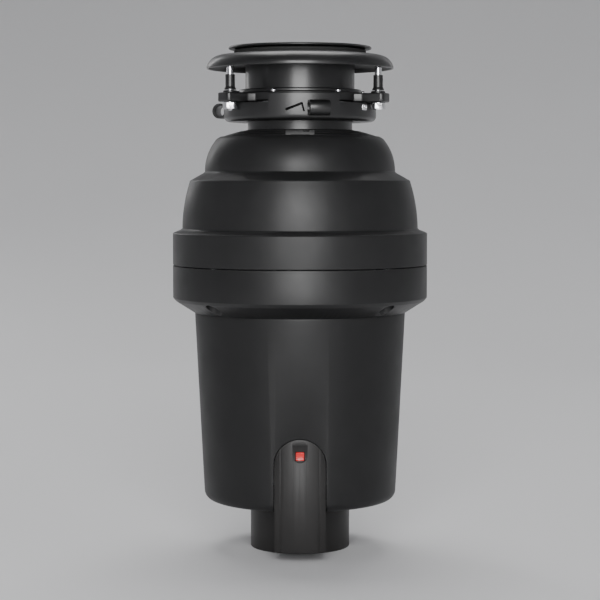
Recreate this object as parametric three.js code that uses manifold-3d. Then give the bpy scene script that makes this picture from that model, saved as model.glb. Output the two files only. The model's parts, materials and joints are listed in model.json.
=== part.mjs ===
// Kitchen waste disposer on a three-bolt sink mount, as an assembly of its separate pieces.
// Millimetres, +Z up. The origin is the middle of the underside of the base, and -Y is the
// side with the reset button. A bearing round the axis is counted in degrees from -Y towards +X.
import * as THREE from "three";
import { mergeVertices } from "three/addons/utils/BufferGeometryUtils.js";
import Module from "manifold-3d";

const wasm = await Module();
wasm.setup();

// ---------------------------------------------------------------- driving dimensions

const gap = 0.4; // left between two pieces that touch
const runningGap = 0.35; // between a shaft and what it runs in
const facets = { large: 28, medium: 20, small: 12, tiny: 8 };

// Grinding chamber: the size that the housings are built round
const chamber = {
  radius: 61.8, // inside
  wall: 2.5,
  depthBelow: 36.2, // from the flange joint down to the floor
  floor: 3.5,
  flangeReach: 5.7,
  flangeThickness: 3.2,
};
const outlet = { radius: 16, wall: 2.5, reach: 10.5 };
const inlet = { radius: 7.5, wall: 2.5, reach: 15.5, drop: 5 };

// Sink mount
const throat = { radius: 43.4, wall: 1.6, tubeLength: 40.7, flareHeight: 7.0, lipReach: 13.6 };
const pan = { reach: 30.8, wall: 1.6, drop: 10.3 };
const flangeGasket = { reach: 9, height: 4.1 };
const upperRing = { reach: 7.6, height: 6.3, collarHeight: 3.6, collarReach: 5.4 };
const ear = { width: 16, reach: 30.9, thickness: 7.2, bossRise: 1.5, bearing: -54.1 };
const pip = { radius: 1.7, spread: 30 };
const screw = { circle: 23.5, radius: 2.75, headFlats: 10, headHeight: 5.7, toPan: 0.4 };
const sleeve = { radius: 3.75, length: 11.8, footRadius: 4.7, footHeight: 2 };
const lockRing = { reach: 17.2, wall: 2, height: 14, floorReach: 1.4, floor: 2.2 };
const tab = { bearing: 3.2, halfSpan: 27, height: 7, hookHalfSpan: 10, hookDepth: 6 };
const wrenchTube = { radius: 6.3, bore: 4.4, length: 17.6, overWall: 6, height: 9.2, bearing: 12.9 };
const gasketRing = { height: 3.3, sleeveDepth: 9, wall: 1.5 };
const neck = { under: 1.8, wall: 2.2, height: 8.6, lipReach: 9.1, lipHeight: 5.2 };
const baffle = { wall: 2, height: 20, mouth: 9, sag: 4.5, flaps: 6, slit: 1.2 };

// Housings, each stepping out from the one above it
const shell = { wall: 2.4, domeGap: 11.5, shoulderStep: 18.2, bandStep: 7.5, shelfRise: 6.8 };
const height = {
  base: 38.6,
  canister: 148.2,
  cone: 12.8,
  lowerBand: 26.6,
  upperBand: 25.8,
  shoulder: 41,
  dome: 41,
};
const canister = { overhang: 17.1, taper: 6.3, footFillet: 7, overlap: 2.2, opening: 34 };
const shellScrew = { radius: 2.3, headRadius: 5, headHeight: 3.4, counterbore: 6 };

// Base and the spine that carries the reset button
const base = { radius: 39.7, wall: 2.6, floor: 3 };
const spine = { width: 39.6, faceWidth: 29, top: 96, bottom: 8.4, proud: 1.7, stripStep: 1.8 };
const spineDepth = { back: 12, wall: 3, floor: 4 };
const resetHole = { radius: 5.7, height: 83.9, pocketTop: 91.4, depth: 3.4 };
const button = { side: 6.4, height: 82.9, recess: 1.6, travel: 2, length: 6.5 };
const grommet = { radius: 9, flange: 11.5, bore: 4.5, height: 19 };

// Motor
const motor = { belowBand: 10.4, aboveBase: 24, canWall: 2.5, canGap: 17.4, plate: 4 };
const magnet = { thickness: 9, halfSpan: 68, endGap: 12 };
const armature = { airGap: 1.2, endGap: 20, slots: 10, slotWidth: 5, slotDepth: 13, turns: 5 };
const shaft = { radius: 6.35, top: 17 };
const bearing = { radius: 11, width: 11 };
const commutator = { radius: 15, height: 11 };
const brush = { width: 8, thickness: 6, length: 13, holderWall: 2 };
const motorBolt = { radius: 2.5, headRadius: 4.6, headHeight: 3.2, beyondCan: 4.6 };

// Grinding parts
const turntable = { edgeGap: 7.2, thickness: 2.8, aboveJoint: 2.8, hubRadius: 12, hubRise: 6 };
const impeller = { circle: 36, reach: 16.6, thickness: 4, headHeight: 9, eye: 8, rivet: 4 };
const shredder = { wall: 4.6, height: 26, notches: 16, notchDepth: 2, notchWidth: 5 };
const hubNut = { flats: 19, height: 6 };

// ---------------------------------------------------------------- derived sizes

const bottomOf = {}; // heights of the joints, from the base up
bottomOf.canister = height.base;
bottomOf.cone = bottomOf.canister + height.canister;
bottomOf.lowerBand = bottomOf.cone + height.cone;
bottomOf.seam = bottomOf.lowerBand + height.lowerBand;
bottomOf.shelf = bottomOf.seam + height.upperBand;
bottomOf.domeShelf = bottomOf.shelf + height.shoulder;
bottomOf.neck = bottomOf.domeShelf + height.dome;

const chamberOuter = chamber.radius + chamber.wall;
const domeRadius = chamberOuter + shell.domeGap;
const shoulderRadius = domeRadius + shell.shoulderStep;
const bandRadius = shoulderRadius + shell.bandStep;
const canisterRadius = bandRadius - canister.overhang - gap;
const canisterFoot = canisterRadius - canister.taper;
const spineRadius = canisterFoot + spine.proud;

const joint = bottomOf.seam + 9.6; // where the chamber's two halves meet
const chamberFloor = joint - chamber.depthBelow;
const chamberFlange = chamberOuter + chamber.flangeReach;
const clampBottom = joint - chamber.flangeThickness - 3.2;
const outletOuter = outlet.radius + outlet.wall;
const outletHeight = clampBottom - 2 - outletOuter;
const outletEnd = bandRadius + outlet.reach;
const inletHeight = bottomOf.domeShelf - inlet.drop;
const inletOuter = inlet.radius + inlet.wall;
const inletEnd = shoulderRadius + inlet.reach - 5.4;

const neckRadius = throat.radius - neck.under;
const neckTop = bottomOf.neck + neck.height;
const lipTop = neckTop + neck.lipHeight;
const lipRadius = throat.radius + neck.lipReach;
const tubeBottom = lipTop + gasketRing.height + 2 * gap;
const beadTop = tubeBottom + 1.6;
const snapBottom = beadTop + gap;
const snapHeight = 1.4;
const ringBottom = snapBottom + snapHeight + gap;
const ringTop = ringBottom + upperRing.height;
const earBottom = ringTop - ear.thickness;
const panTop = tubeBottom + throat.tubeLength - gap;
const flangeTop = tubeBottom + throat.tubeLength + throat.flareHeight;
const screwCircle = throat.radius + screw.circle;
const panUnderScrew = panTop - pan.wall - 3.1;
const lockOuter = throat.radius + lockRing.reach;
const lockInner = lockOuter - lockRing.wall;
const lockBottom = neckTop - lockRing.floor - gap;
const lockTop = lockBottom + lockRing.height;
const tabTop = lockTop + tab.height;

const motorTop = bottomOf.cone - motor.belowBand;
const motorBottom = bottomOf.canister + motor.aboveBase;
const canRadius = canisterFoot - shell.wall - motor.canGap;
const canInner = canRadius - motor.canWall;
const magnetInner = canInner - gap - magnet.thickness;
const armatureRadius = magnetInner - armature.airGap;
const armatureBottom = motorBottom + armature.endGap;
const armatureTop = motorTop - armature.endGap;
const boltCircle = canRadius + motorBolt.beyondCan;
const bellRadius = boltCircle + 4;
const boreRadius = shaft.radius + runningGap;
const lowerBearingBottom = motorBottom - 2 - bearing.width;

const tableTop = joint + turntable.aboveJoint + turntable.thickness;
const tableRadius = chamber.radius - turntable.edgeGap;
const lugBottom = tableTop + gap;
const shaftTop = tableTop + shaft.top;

const screwBearings = [45, 135, 225, 315];
const earBearings = [0, 1, 2].map((i) => ear.bearing + 120 * i);
const tabBearings = [0, 1, 2].map((i) => tab.bearing + 120 * i);
const tubeBearings = [0, 1, 2].map((i) => wrenchTube.bearing + 120 * i);
const shellScrewCircle = bandRadius - 8;
const counterboreTop = bottomOf.lowerBand + 5.5;

// ---------------------------------------------------------------- making solids

function toManifold(geometry) {
  const bare = geometry.clone();
  bare.deleteAttribute("normal");
  bare.deleteAttribute("uv");
  const merged = mergeVertices(bare, 1e-4);
  const mesh = new wasm.Mesh({
    numProp: 3,
    vertProperties: merged.attributes.position.array,
    triVerts: new Uint32Array(merged.index.array),
  });
  return new wasm.Manifold(mesh);
}

function toGeometry(manifold) {
  const mesh = manifold.getMesh();
  const geometry = new THREE.BufferGeometry();
  geometry.setAttribute("position", new THREE.BufferAttribute(mesh.vertProperties, 3));
  geometry.setIndex(new THREE.BufferAttribute(mesh.triVerts, 1));
  return geometry;
}

function join(...pieces) {
  return toGeometry(pieces.map(toManifold).reduce((sum, piece) => sum.add(piece)));
}

function cut(body, ...tools) {
  const start = toManifold(body);
  return toGeometry(tools.map(toManifold).reduce((left, tool) => left.subtract(tool), start));
}

function common(first, second) {
  return toGeometry(toManifold(first).intersect(toManifold(second)));
}

// A solid of revolution about Z from a closed outline of [radius, height] points.
function turned(outline, sides = facets.large) {
  const area = outline.reduce((sum, [r, z], i) => {
    const [nextR, nextZ] = outline[(i + 1) % outline.length];
    return sum + r * nextZ - nextR * z;
  }, 0);
  const points = area > 0 ? [...outline] : [...outline].reverse();
  const solid = Math.min(...points.map(([r]) => r)) < 1e-6;
  if (solid) {
    while (points[0][0] > 1e-6 || points.at(-1)[0] > 1e-6) points.push(points.shift());
  } else {
    points.push(points[0]);
  }
  const profile = points.map(([r, z]) => new THREE.Vector2(r, z));
  return new THREE.LatheGeometry(profile, sides).rotateX(Math.PI / 2);
}

// The same outline moved in by a sheet's thickness, to the left of its direction of travel.
function inset(outline, thickness) {
  return outline.map((point, i) => {
    const before = outline[Math.max(i - 1, 0)];
    const after = outline[Math.min(i + 1, outline.length - 1)];
    const into = unit(point[0] - before[0], point[1] - before[1]);
    const out = unit(after[0] - point[0], after[1] - point[1]);
    const first = i === 0 ? out : into;
    const second = i === outline.length - 1 ? into : out;
    const across = unit(-first[1] - second[1], first[0] + second[0]);
    const length = thickness / (across[0] * -first[1] + across[1] * first[0]);
    return [point[0] + across[0] * length, point[1] + across[1] * length];
  });
}

function unit(x, y) {
  const length = Math.hypot(x, y) || 1;
  return [x / length, y / length];
}

// A turned sheet: the outline is its outer skin, read upwards, and the wall lies inside it.
function turnedSheet(outline, thickness, sides = facets.large) {
  return turned([...outline, ...inset(outline, thickness).reverse()], sides);
}

// Points along a round stretch between two points that bulges outwards by its sagitta.
function bulge(from, to, sagitta, steps) {
  const [dx, dy] = [to[0] - from[0], to[1] - from[1]];
  const chord = Math.hypot(dx, dy);
  const [nx, ny] = [dy / chord, -dx / chord];
  const radius = (chord * chord) / (8 * sagitta) + sagitta / 2;
  const half = Math.asin(chord / 2 / radius);
  return Array.from({ length: steps + 1 }, (_, i) => {
    const angle = half * ((2 * i) / steps - 1);
    const along = 0.5 + (Math.sin(angle) * radius) / chord;
    const out = Math.cos(angle) * radius - (radius - sagitta);
    return [from[0] + dx * along + nx * out, from[1] + dy * along + ny * out];
  });
}

// A rod, or a tube's bore, along an axis and starting at the given point.
function rod(radius, length, start, axis = "z", sides = facets.small) {
  const geometry = new THREE.CylinderGeometry(radius, radius, length, sides);
  geometry.translate(0, length / 2, 0);
  if (axis === "z") geometry.rotateX(Math.PI / 2);
  if (axis === "x") geometry.rotateZ(-Math.PI / 2);
  return geometry.translate(...start);
}

function box([x0, x1], [y0, y1], [z0, z1]) {
  const geometry = new THREE.BoxGeometry(x1 - x0, y1 - y0, z1 - z0);
  return geometry.translate((x0 + x1) / 2, (y0 + y1) / 2, (z0 + z1) / 2);
}

function hexagon(flats) {
  const shape = new THREE.Shape();
  for (let i = 0; i < 6; i += 1) {
    const angle = (Math.PI / 3) * i;
    const [x, y] = [Math.cos(angle), Math.sin(angle)].map((v) => (v * flats) / Math.sqrt(3));
    if (i === 0) shape.moveTo(x, y);
    else shape.lineTo(x, y);
  }
  return shape;
}

// A flat shape in the XY plane, raised from one height to another.
function raised(shape, from, to, curveSegments = 8) {
  const options = { depth: to - from, bevelEnabled: false, curveSegments };
  return new THREE.ExtrudeGeometry(shape, options).translate(0, 0, from);
}

const radians = (degrees) => THREE.MathUtils.degToRad(degrees);

// The part of a ring between two bearings.
function sector(inner, outer, from, to, lowBearing, highBearing, curveSegments = 8) {
  const [start, end] = [radians(lowBearing - 90), radians(highBearing - 90)];
  const shape = new THREE.Shape();
  shape.absarc(0, 0, outer, start, end, false);
  shape.absarc(0, 0, inner, end, start, true);
  shape.closePath();
  return raised(shape, from, to, curveSegments);
}

// Turns a piece that was drawn on the front (-Y) round to a bearing.
const turnTo = (geometry, degrees) => geometry.clone().rotateZ(radians(degrees));

// ---------------------------------------------------------------- sink mount

function sinkFlange() {
  const r = throat.radius;
  const flare = flangeTop - throat.flareHeight;
  const lip = r + throat.lipReach;
  const skin = [
    [r + 1.5, tubeBottom],
    [r + 1.5, beadTop - 0.4],
    [r, beadTop],
    [r, flare],
    [r + 1.6, flare + 2.2],
    [r + 5.1, flare + 3.9],
    [lip - 4.4, flangeTop - 2.2],
    [lip - 0.6, flangeTop - 2.2],
    [lip, flangeTop - 1.2],
    [lip - 1, flangeTop],
    [lip - 4.8, flangeTop - 0.6],
    [r + 4.5, flangeTop - 1.7],
    [r + 0.3, flangeTop - 3.7],
    [r - throat.wall, flare + 0.4],
    [r - throat.wall, tubeBottom],
  ];
  return turned(skin);
}

function flangeGasketRing() {
  const r = throat.radius;
  const outer = r + flangeGasket.reach;
  const bottom = panTop + gap;
  const top = bottom + flangeGasket.height;
  return turned([
    [r + 0.8, bottom],
    [outer, bottom],
    [outer, top],
    [outer - 1, top],
    [r + 5.2, top - 0.8],
    [r + 2.2, top - 2.4],
  ]);
}

function supportPan() {
  const rim = throat.radius + pan.reach;
  const skin = [
    [rim, panTop - pan.drop],
    ...bulge([rim, panTop - pan.drop + 2], [rim - 14.2, panTop], 3.2, 4),
    [throat.radius + 2 * gap, panTop],
  ];
  return turnedSheet(skin, pan.wall);
}

function earShape() {
  const half = ear.width / 2;
  const root = throat.radius + 4.6;
  const end = throat.radius + ear.reach;
  const corner = 3;
  const shape = new THREE.Shape();
  shape.moveTo(-half, -root);
  shape.lineTo(-half, corner - end);
  shape.absarc(corner - half, corner - end, corner, Math.PI, 1.5 * Math.PI, false);
  shape.absarc(half - corner, corner - end, corner, -Math.PI / 2, 0, false);
  shape.lineTo(half, -root);
  shape.closePath();
  return shape;
}

// The three stretches of a ring that lie between the tabs, as solids to cut with.
function spacesBetweenTabs(inner, outer, from, to, halfSpan) {
  const spare = sector(inner, outer, from, to, halfSpan, 120 - halfSpan, 4);
  return tabBearings.map((b) => turnTo(spare, b));
}

function upperMountingRing() {
  const inner = throat.radius + 2 * gap;
  const outer = throat.radius + upperRing.reach;
  const collar = throat.radius + upperRing.collarReach;
  const collarTop = ringTop + upperRing.collarHeight;
  const lugTip = lockInner - 1.2;
  const lugHeight = tabTop - lockRing.wall - 2 * gap - 0.4;
  const ring = turned([
    [inner, ringBottom],
    [lugTip, ringBottom],
    [lugTip, lugHeight],
    [outer, lugHeight],
    [outer, ringTop],
    [collar, ringTop],
    [collar, collarTop],
    [inner, collarTop],
  ]);
  const lugSpan = tab.hookHalfSpan - 1;
  const between = spacesBetweenTabs(outer, lugTip + 9, ringBottom - 1, ringTop + 1, lugSpan);
  const plate = raised(earShape(), earBottom, ringTop, 3);
  const bossTop = ringTop + ear.bossRise;
  const boss = rod(sleeve.footRadius + 0.8, bossTop - earBottom, [0, -screwCircle, earBottom]);
  const ears = earBearings.flatMap((b) => [turnTo(plate, b), turnTo(boss, b)]);
  const pipFoot = ringBottom + 1;
  const rivet = rod(pip.radius, ringTop + 3.7 - pipFoot, [0, 1.9 - outer, pipFoot], "z", facets.tiny);
  const spreads = [-pip.spread, pip.spread];
  const pips = earBearings.flatMap((b) => spreads.map((s) => turnTo(rivet, b + s)));
  const hole = rod(screw.radius + gap, 14, [0, -screwCircle, earBottom - 3], "z", facets.tiny);
  const holes = earBearings.map((b) => turnTo(hole, b));
  const middle = rod(inner, 20, [0, 0, earBottom - 5], "z", facets.large);
  return cut(join(cut(ring, ...between), ...ears, ...pips), ...holes, middle);
}

function snapRing() {
  const inner = throat.radius + gap;
  const bottom = snapBottom;
  const ring = turned([
    [inner, bottom],
    [inner + 2.8, bottom],
    [inner + 2.8, bottom + snapHeight],
    [inner, bottom + snapHeight],
  ]);
  return cut(ring, box([-5, 5], [-inner - 5, 0], [bottom - 1, bottom + 3]));
}

// Drawn on the Z axis, with the top of its head where the ear rests on it.
function mountingScrew() {
  const head = raised(hexagon(screw.headFlats), -screw.headHeight, 0);
  const length = panUnderScrew - screw.toPan - earBottom;
  return join(head, rod(screw.radius, length + 1, [0, 0, -1], "z", facets.tiny));
}

function threadedSleeve() {
  const bore = screw.radius + gap;
  return turned(
    [
      [bore, 0],
      [sleeve.footRadius, 0],
      [sleeve.footRadius, 0.8],
      [sleeve.radius, sleeve.footHeight],
      [sleeve.radius, sleeve.length],
      [bore, sleeve.length],
    ],
    12,
  );
}

function mountingGasket() {
  const outer = lipRadius - 1;
  const sleeveOuter = neckRadius - neck.wall - gap;
  const inner = sleeveOuter - gasketRing.wall;
  const bottom = lipTop + gap;
  const top = bottom + gasketRing.height;
  return turned([
    [inner, bottom - gasketRing.sleeveDepth],
    [sleeveOuter, bottom - gasketRing.sleeveDepth],
    [sleeveOuter, bottom],
    [outer, bottom],
    [outer, top],
    [inner, top],
  ]);
}

function splashBaffle() {
  const outer = throat.radius - throat.wall - gap - 0.2;
  const inner = outer - baffle.wall;
  const bottom = tubeBottom + gap;
  const rim = bottom + 7;
  const cup = turned(
    [
      [inner, bottom],
      [outer, bottom],
      [outer, bottom + baffle.height],
      [inner, bottom + baffle.height],
      [inner, rim + baffle.wall],
      [baffle.mouth, rim + baffle.wall - baffle.sag],
      [baffle.mouth, rim - baffle.sag],
      [inner, rim],
    ],
    facets.medium,
  );
  const half = baffle.slit / 2;
  const slit = box([-half, half], [-inner + 5, -baffle.mouth + 2], [bottom + 1, rim + 4]);
  const pitch = 360 / baffle.flaps;
  const slits = Array.from({ length: baffle.flaps }, (_, i) => turnTo(slit, pitch * i));
  return cut(cup, ...slits);
}

// A thin cut through the tab's wall between two points on its face.
function tabSlit([x0, z0], [x1, z1], width) {
  const length = Math.hypot(x1 - x0, z1 - z0);
  const slit = new THREE.BoxGeometry(length, 6, width);
  slit.rotateY(-Math.atan2(z1 - z0, x1 - x0));
  return slit.translate((x0 + x1) / 2, -lockOuter, (z0 + z1) / 2);
}

function lockingRing() {
  const corner = 3.5;
  const foot = neckRadius + lockRing.floorReach;
  const cup = turned([
    [foot, lockBottom],
    ...bulge([lockOuter - corner, lockBottom], [lockOuter, lockBottom + corner], 1, 3),
    [lockOuter, tabTop],
    [lockInner - tab.hookDepth, tabTop],
    [lockInner - tab.hookDepth, tabTop - lockRing.wall],
    [lockInner, tabTop - lockRing.wall],
    [lockInner, lockBottom + corner],
    [lockInner - 1.5, lockBottom + lockRing.floor],
    [foot, lockBottom + lockRing.floor],
  ]);
  const walls = spacesBetweenTabs(lockInner - 9, lockOuter + 9, lockTop, tabTop + 1, tab.halfSpan);
  const hooks = spacesBetweenTabs(lockInner - 9, lockInner, lockTop, tabTop + 1, tab.hookHalfSpan);
  const tubeY = -lockOuter - wrenchTube.overWall;
  const tubeZ = lockBottom + wrenchTube.height;
  const half = wrenchTube.length / 2;
  const tubeStart = [-half, tubeY, tubeZ];
  const web = box([-half, half], [-lockOuter - 2, 1 - lockOuter], [tubeZ - 3, tubeZ + 3]);
  const roll = rod(wrenchTube.radius, wrenchTube.length, tubeStart, "x", facets.small);
  const boreStart = [-half - 1, tubeY, tubeZ];
  const bore = rod(wrenchTube.bore, wrenchTube.length + 2, boreStart, "x", facets.tiny);
  const rolls = tubeBearings.flatMap((b) => [turnTo(roll, b), turnTo(web, b)]);
  const bores = tubeBearings.map((b) => turnTo(bore, b));
  const slitFoot = lockBottom + 7.9;
  const ramp = tabSlit([-11, slitFoot], [1.5, slitFoot + 4.8], 1.3);
  const detent = tabSlit([1.2, slitFoot + 5.2], [3, slitFoot - 1.4], 1.3);
  const slits = [0, 120, 240].flatMap((b) => [turnTo(ramp, b), turnTo(detent, b)]);
  return cut(join(cut(cup, ...walls, ...hooks), ...rolls), ...bores, ...slits);
}

// ---------------------------------------------------------------- grinding chamber

function hopper() {
  const top = lipTop;
  const bottom = joint + gap / 2;
  const cone = bottomOf.neck - 4;
  const cheek = [chamberOuter, bottomOf.domeShelf - 9];
  const coneFoot = [(chamberOuter * 2 + neckRadius) / 3, bottomOf.domeShelf + 11];
  const skin = [
    [chamberFlange, bottom],
    [chamberFlange, bottom + chamber.flangeThickness],
    [chamberOuter, bottom + chamber.flangeThickness],
    cheek,
    ...bulge([chamberOuter - 1.5, bottomOf.domeShelf], coneFoot, 1.2, 2),
    [neckRadius, cone],
    [neckRadius, neckTop],
    [lipRadius, neckTop],
    [lipRadius, top],
    [neckRadius - neck.wall, top],
    [neckRadius - neck.wall, cone],
    [coneFoot[0] - chamber.wall, coneFoot[1] - 1],
    [chamber.radius - 1.5, bottomOf.domeShelf - 1],
    [chamber.radius, cheek[1]],
    [chamber.radius, bottom],
  ];
  const start = [0, chamber.radius - 4, inletHeight];
  const pipeEnd = inletEnd - start[1];
  const pipe = rod(inletOuter, pipeEnd, start, "y", facets.small);
  const bore = rod(inlet.radius, pipeEnd + 20, [0, start[1] - 10, inletHeight], "y", facets.small);
  const inside = rod(chamber.radius, 20, [0, 0, cheek[1] - 20], "z", facets.large);
  const body = turned(skin);
  const spigot = cut(pipe, inside, turned(insideOfHopper(cheek, coneFoot)));
  return cut(join(body, spigot), bore);
}

// The space inside the hopper, as a solid to cut with.
function insideOfHopper(cheek, coneFoot) {
  return [
    [0, joint],
    [chamber.radius, joint],
    [chamber.radius, cheek[1]],
    [chamber.radius - 1.5, bottomOf.domeShelf - 1],
    [coneFoot[0] - chamber.wall, coneFoot[1] - 1],
    [0, coneFoot[1]],
  ];
}

function inletKnockout() {
  return rod(inlet.radius - gap, 2, [0, chamber.radius + 8, inletHeight], "y", facets.small);
}

function lowerChamber() {
  const top = joint - gap / 2;
  const hub = bearing.radius + 2;
  const under = chamberFloor - chamber.floor;
  const outside = turned([
    [0, under],
    [chamberOuter - 6, under],
    [chamberOuter, under + 6],
    [chamberOuter, top - chamber.flangeThickness],
    [chamberFlange, top - chamber.flangeThickness],
    [chamberFlange, top],
    [0, top],
  ]);
  const inside = turned([
    [hub + 3, chamberFloor],
    [chamber.radius - 4.5, chamberFloor],
    [chamber.radius, chamberFloor + 4.5],
    [chamber.radius, top + 1],
    [0, top + 1],
    [0, chamberFloor + 3.5],
    [hub + 3, chamberFloor + 3.5],
  ]);
  const troughStart = chamber.radius - 24;
  const pipeLength = outletEnd - troughStart;
  const pipe = rod(outletOuter, pipeLength, [0, troughStart, outletHeight], "y", 24);
  const boreStart = [0, troughStart + outlet.wall, outletHeight];
  const bore = rod(outlet.radius, pipeLength, boreStart, "y", 24);
  const sealSeat = rod(hub + gap, 12, [0, 0, under - 1], "z", facets.small);
  return cut(join(outside, pipe), inside, bore, sealSeat);
}

function clampBand() {
  const inner = chamberFlange + gap;
  const outer = inner + 2.5;
  const half = chamber.flangeThickness + gap / 2;
  const [low, high] = [joint - half, joint + half];
  return turned([
    [chamberOuter + 2, clampBottom],
    [outer, clampBottom],
    [outer, high + 2.6],
    [chamberOuter + 2, high + 2.6],
    [chamberOuter + 2, high + gap],
    [inner, high + gap],
    [inner, low - gap],
    [chamberOuter + 2, low - gap],
  ]);
}

function shredderRing() {
  const outer = chamber.radius - gap;
  const inner = outer - shredder.wall;
  const bottom = joint + gap;
  const top = bottom + shredder.height;
  const ring = turned([
    [inner, bottom],
    [outer, bottom],
    [outer, top],
    [inner, top],
  ]);
  const half = shredder.notchWidth / 2;
  const deep = inner + shredder.notchDepth;
  const notchTop = bottom + shredder.height * 0.6;
  const notch = box([-half, half], [-deep, 4 - inner], [bottom - 1, notchTop]);
  const pitch = 360 / shredder.notches;
  const notches = Array.from({ length: shredder.notches }, (_, i) => turnTo(notch, pitch * i));
  return cut(ring, ...notches);
}

function grindTable() {
  const bottom = tableTop - turntable.thickness;
  const disc = turned([
    [boreRadius, bottom - 4],
    [turntable.hubRadius, bottom - 4],
    [turntable.hubRadius, bottom],
    [tableRadius, bottom],
    [tableRadius, tableTop],
    [turntable.hubRadius, tableTop],
    [turntable.hubRadius, tableTop + turntable.hubRise],
    [boreRadius, tableTop + turntable.hubRise],
  ]);
  const drain = rod(3.5, 12, [0, 6.5 - tableRadius, bottom - 4], "z", 8);
  const drains = [30, 60, 120, 150, 210, 240, 300, 330].map((b) => turnTo(drain, b));
  const eye = rod(impeller.rivet + gap, 12, [0, -impeller.circle, bottom - 4], "z", facets.tiny);
  return cut(disc, ...drains, turnTo(eye, 90), turnTo(eye, 270));
}

// Drawn round its own pivot, with the heavy end towards +X.
function impellerLug() {
  const tip = impeller.reach;
  const shape = new THREE.Shape();
  shape.absarc(0, 0, impeller.eye, Math.PI / 2, 1.5 * Math.PI, false);
  shape.lineTo(tip - 4, -7);
  shape.lineTo(tip - 1.2, -4);
  shape.lineTo(tip - 1.2, 4);
  shape.lineTo(tip - 4, 7);
  shape.closePath();
  const plate = raised(shape, 0, impeller.thickness, 5);
  const head = box([impeller.eye + 0.4, tip - 2.4], [-5, 5], [1, impeller.headHeight]);
  const eye = rod(impeller.rivet + gap, 12, [0, 0, -2], "z", facets.tiny);
  return cut(join(plate, head), eye);
}

function impellerRivet() {
  const under = -gap - turntable.thickness - gap;
  const top = impeller.thickness + gap;
  return turned(
    [
      [0, under - 2],
      [6, under - 2],
      [6, under],
      [impeller.rivet, under],
      [impeller.rivet, top],
      [6.4, top],
      [4.5, top + 2],
      [0, top + 2],
    ],
    12,
  );
}

function hubNutPiece() {
  const bottom = tableTop + turntable.hubRise + gap;
  const nut = raised(hexagon(hubNut.flats), bottom, bottom + hubNut.height);
  return cut(nut, rod(boreRadius, hubNut.height + 2, [0, 0, bottom - 1]));
}

function shaftSeal() {
  const bottom = chamberFloor - chamber.floor;
  const outer = bearing.radius + 2;
  return turned(
    [
      [boreRadius, bottom + 2],
      [boreRadius + 2, bottom],
      [outer, bottom],
      [outer, bottom + 7],
      [boreRadius + 2, bottom + 7],
      [boreRadius + 2, bottom + 3],
      [boreRadius, bottom + 3],
    ],
    facets.small,
  );
}

// ---------------------------------------------------------------- motor

function upperEndBell() {
  const top = chamberFloor - chamber.floor - gap;
  const seat = top - bearing.width - gap;
  const bore = bearing.radius + gap;
  return boltHoles(
    turned([
      [boreRadius + 1, motorTop],
      [bellRadius, motorTop],
      [bellRadius, motorTop + motor.plate],
      [bore + 5.6, motorTop + motor.plate],
      [bore + 5.6, top],
      [bore, top],
      [bore, seat],
      [boreRadius + 1, seat],
    ]),
    motorTop,
  );
}

function lowerEndBell() {
  const top = motorBottom;
  const bottom = top - motor.plate;
  const seat = lowerBearingBottom;
  const web = seat + bearing.width;
  const bore = bearing.radius + gap;
  return boltHoles(
    turned([
      [bore, seat],
      [bore + 4, seat],
      [bore + 4, bottom],
      [bellRadius, bottom],
      [bellRadius, top],
      [boreRadius + 1, top],
      [boreRadius + 1, web],
      [bore, web],
    ]),
    bottom,
  );
}

function boltHoles(plate, from) {
  const start = [0, -boltCircle, from - 1];
  const hole = rod(motorBolt.radius + gap, motor.plate + 2, start, "z", facets.tiny);
  return cut(plate, turnTo(hole, 90), turnTo(hole, 270));
}

// Drawn from the height of its bottom face.
function ballBearing() {
  return turned(
    [
      [boreRadius, 0],
      [bearing.radius, 0],
      [bearing.radius, bearing.width - gap],
      [boreRadius, bearing.width - gap],
    ],
    facets.small,
  );
}

function motorShaft() {
  const bottom = lowerBearingBottom - 2;
  return rod(shaft.radius, shaftTop - bottom, [0, 0, bottom]);
}

function motorCan() {
  return turned([
    [canInner, motorBottom + gap],
    [canRadius, motorBottom + gap],
    [canRadius, motorTop - gap],
    [canInner, motorTop - gap],
  ]);
}

function fieldMagnet() {
  const outer = (canInner - gap) * Math.cos(Math.PI / facets.large);
  const [from, to] = [motorBottom + magnet.endGap, motorTop - magnet.endGap];
  return sector(magnetInner, outer, from, to, -magnet.halfSpan, magnet.halfSpan, 10);
}

function slotWedge(inner, outer, width, from, to) {
  return box([-width / 2, width / 2], [-outer, -inner], [from, to]);
}

function armatureSlots(width, outer, from, to) {
  const inner = armatureRadius - armature.slotDepth;
  const slot = slotWedge(inner, outer, width, from, to);
  const pitch = 360 / armature.slots;
  return Array.from({ length: armature.slots }, (_, i) => turnTo(slot, pitch * i));
}

function armatureCore() {
  const core = turned([
    [boreRadius, armatureBottom],
    [armatureRadius, armatureBottom],
    [armatureRadius, armatureTop],
    [boreRadius, armatureTop],
  ]);
  const ends = [armatureBottom - 1, armatureTop + 1];
  return cut(core, ...armatureSlots(armature.slotWidth, armatureRadius + 1, ...ends));
}

function armatureWinding() {
  const outer = armatureRadius - 2.5;
  const inner = armatureRadius - armature.slotDepth + gap;
  const [low, high] = [armatureBottom - gap, armatureTop + gap];
  const endTurns = (from, to) =>
    turned(
      [
        [inner, from],
        [outer, from],
        [outer, to],
        [inner, to],
      ],
      facets.medium,
    );
  const bars = armatureSlots(armature.slotWidth - 2 * gap, outer - 0.5, low - 1, high + 1);
  const pocket = rod(inner, high - low + 12, [0, 0, low - 6], "z", facets.medium);
  const rings = [endTurns(low - armature.turns, low), endTurns(high, high + armature.turns)];
  return cut(join(...rings, ...bars), pocket);
}

function commutatorBarrel() {
  const top = armatureBottom - armature.turns - 2;
  return turned(
    [
      [boreRadius, top - commutator.height],
      [commutator.radius, top - commutator.height],
      [commutator.radius, top],
      [boreRadius, top],
    ],
    facets.small,
  );
}

const brushHeight = armatureBottom - armature.turns - 2 - commutator.height / 2;

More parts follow.
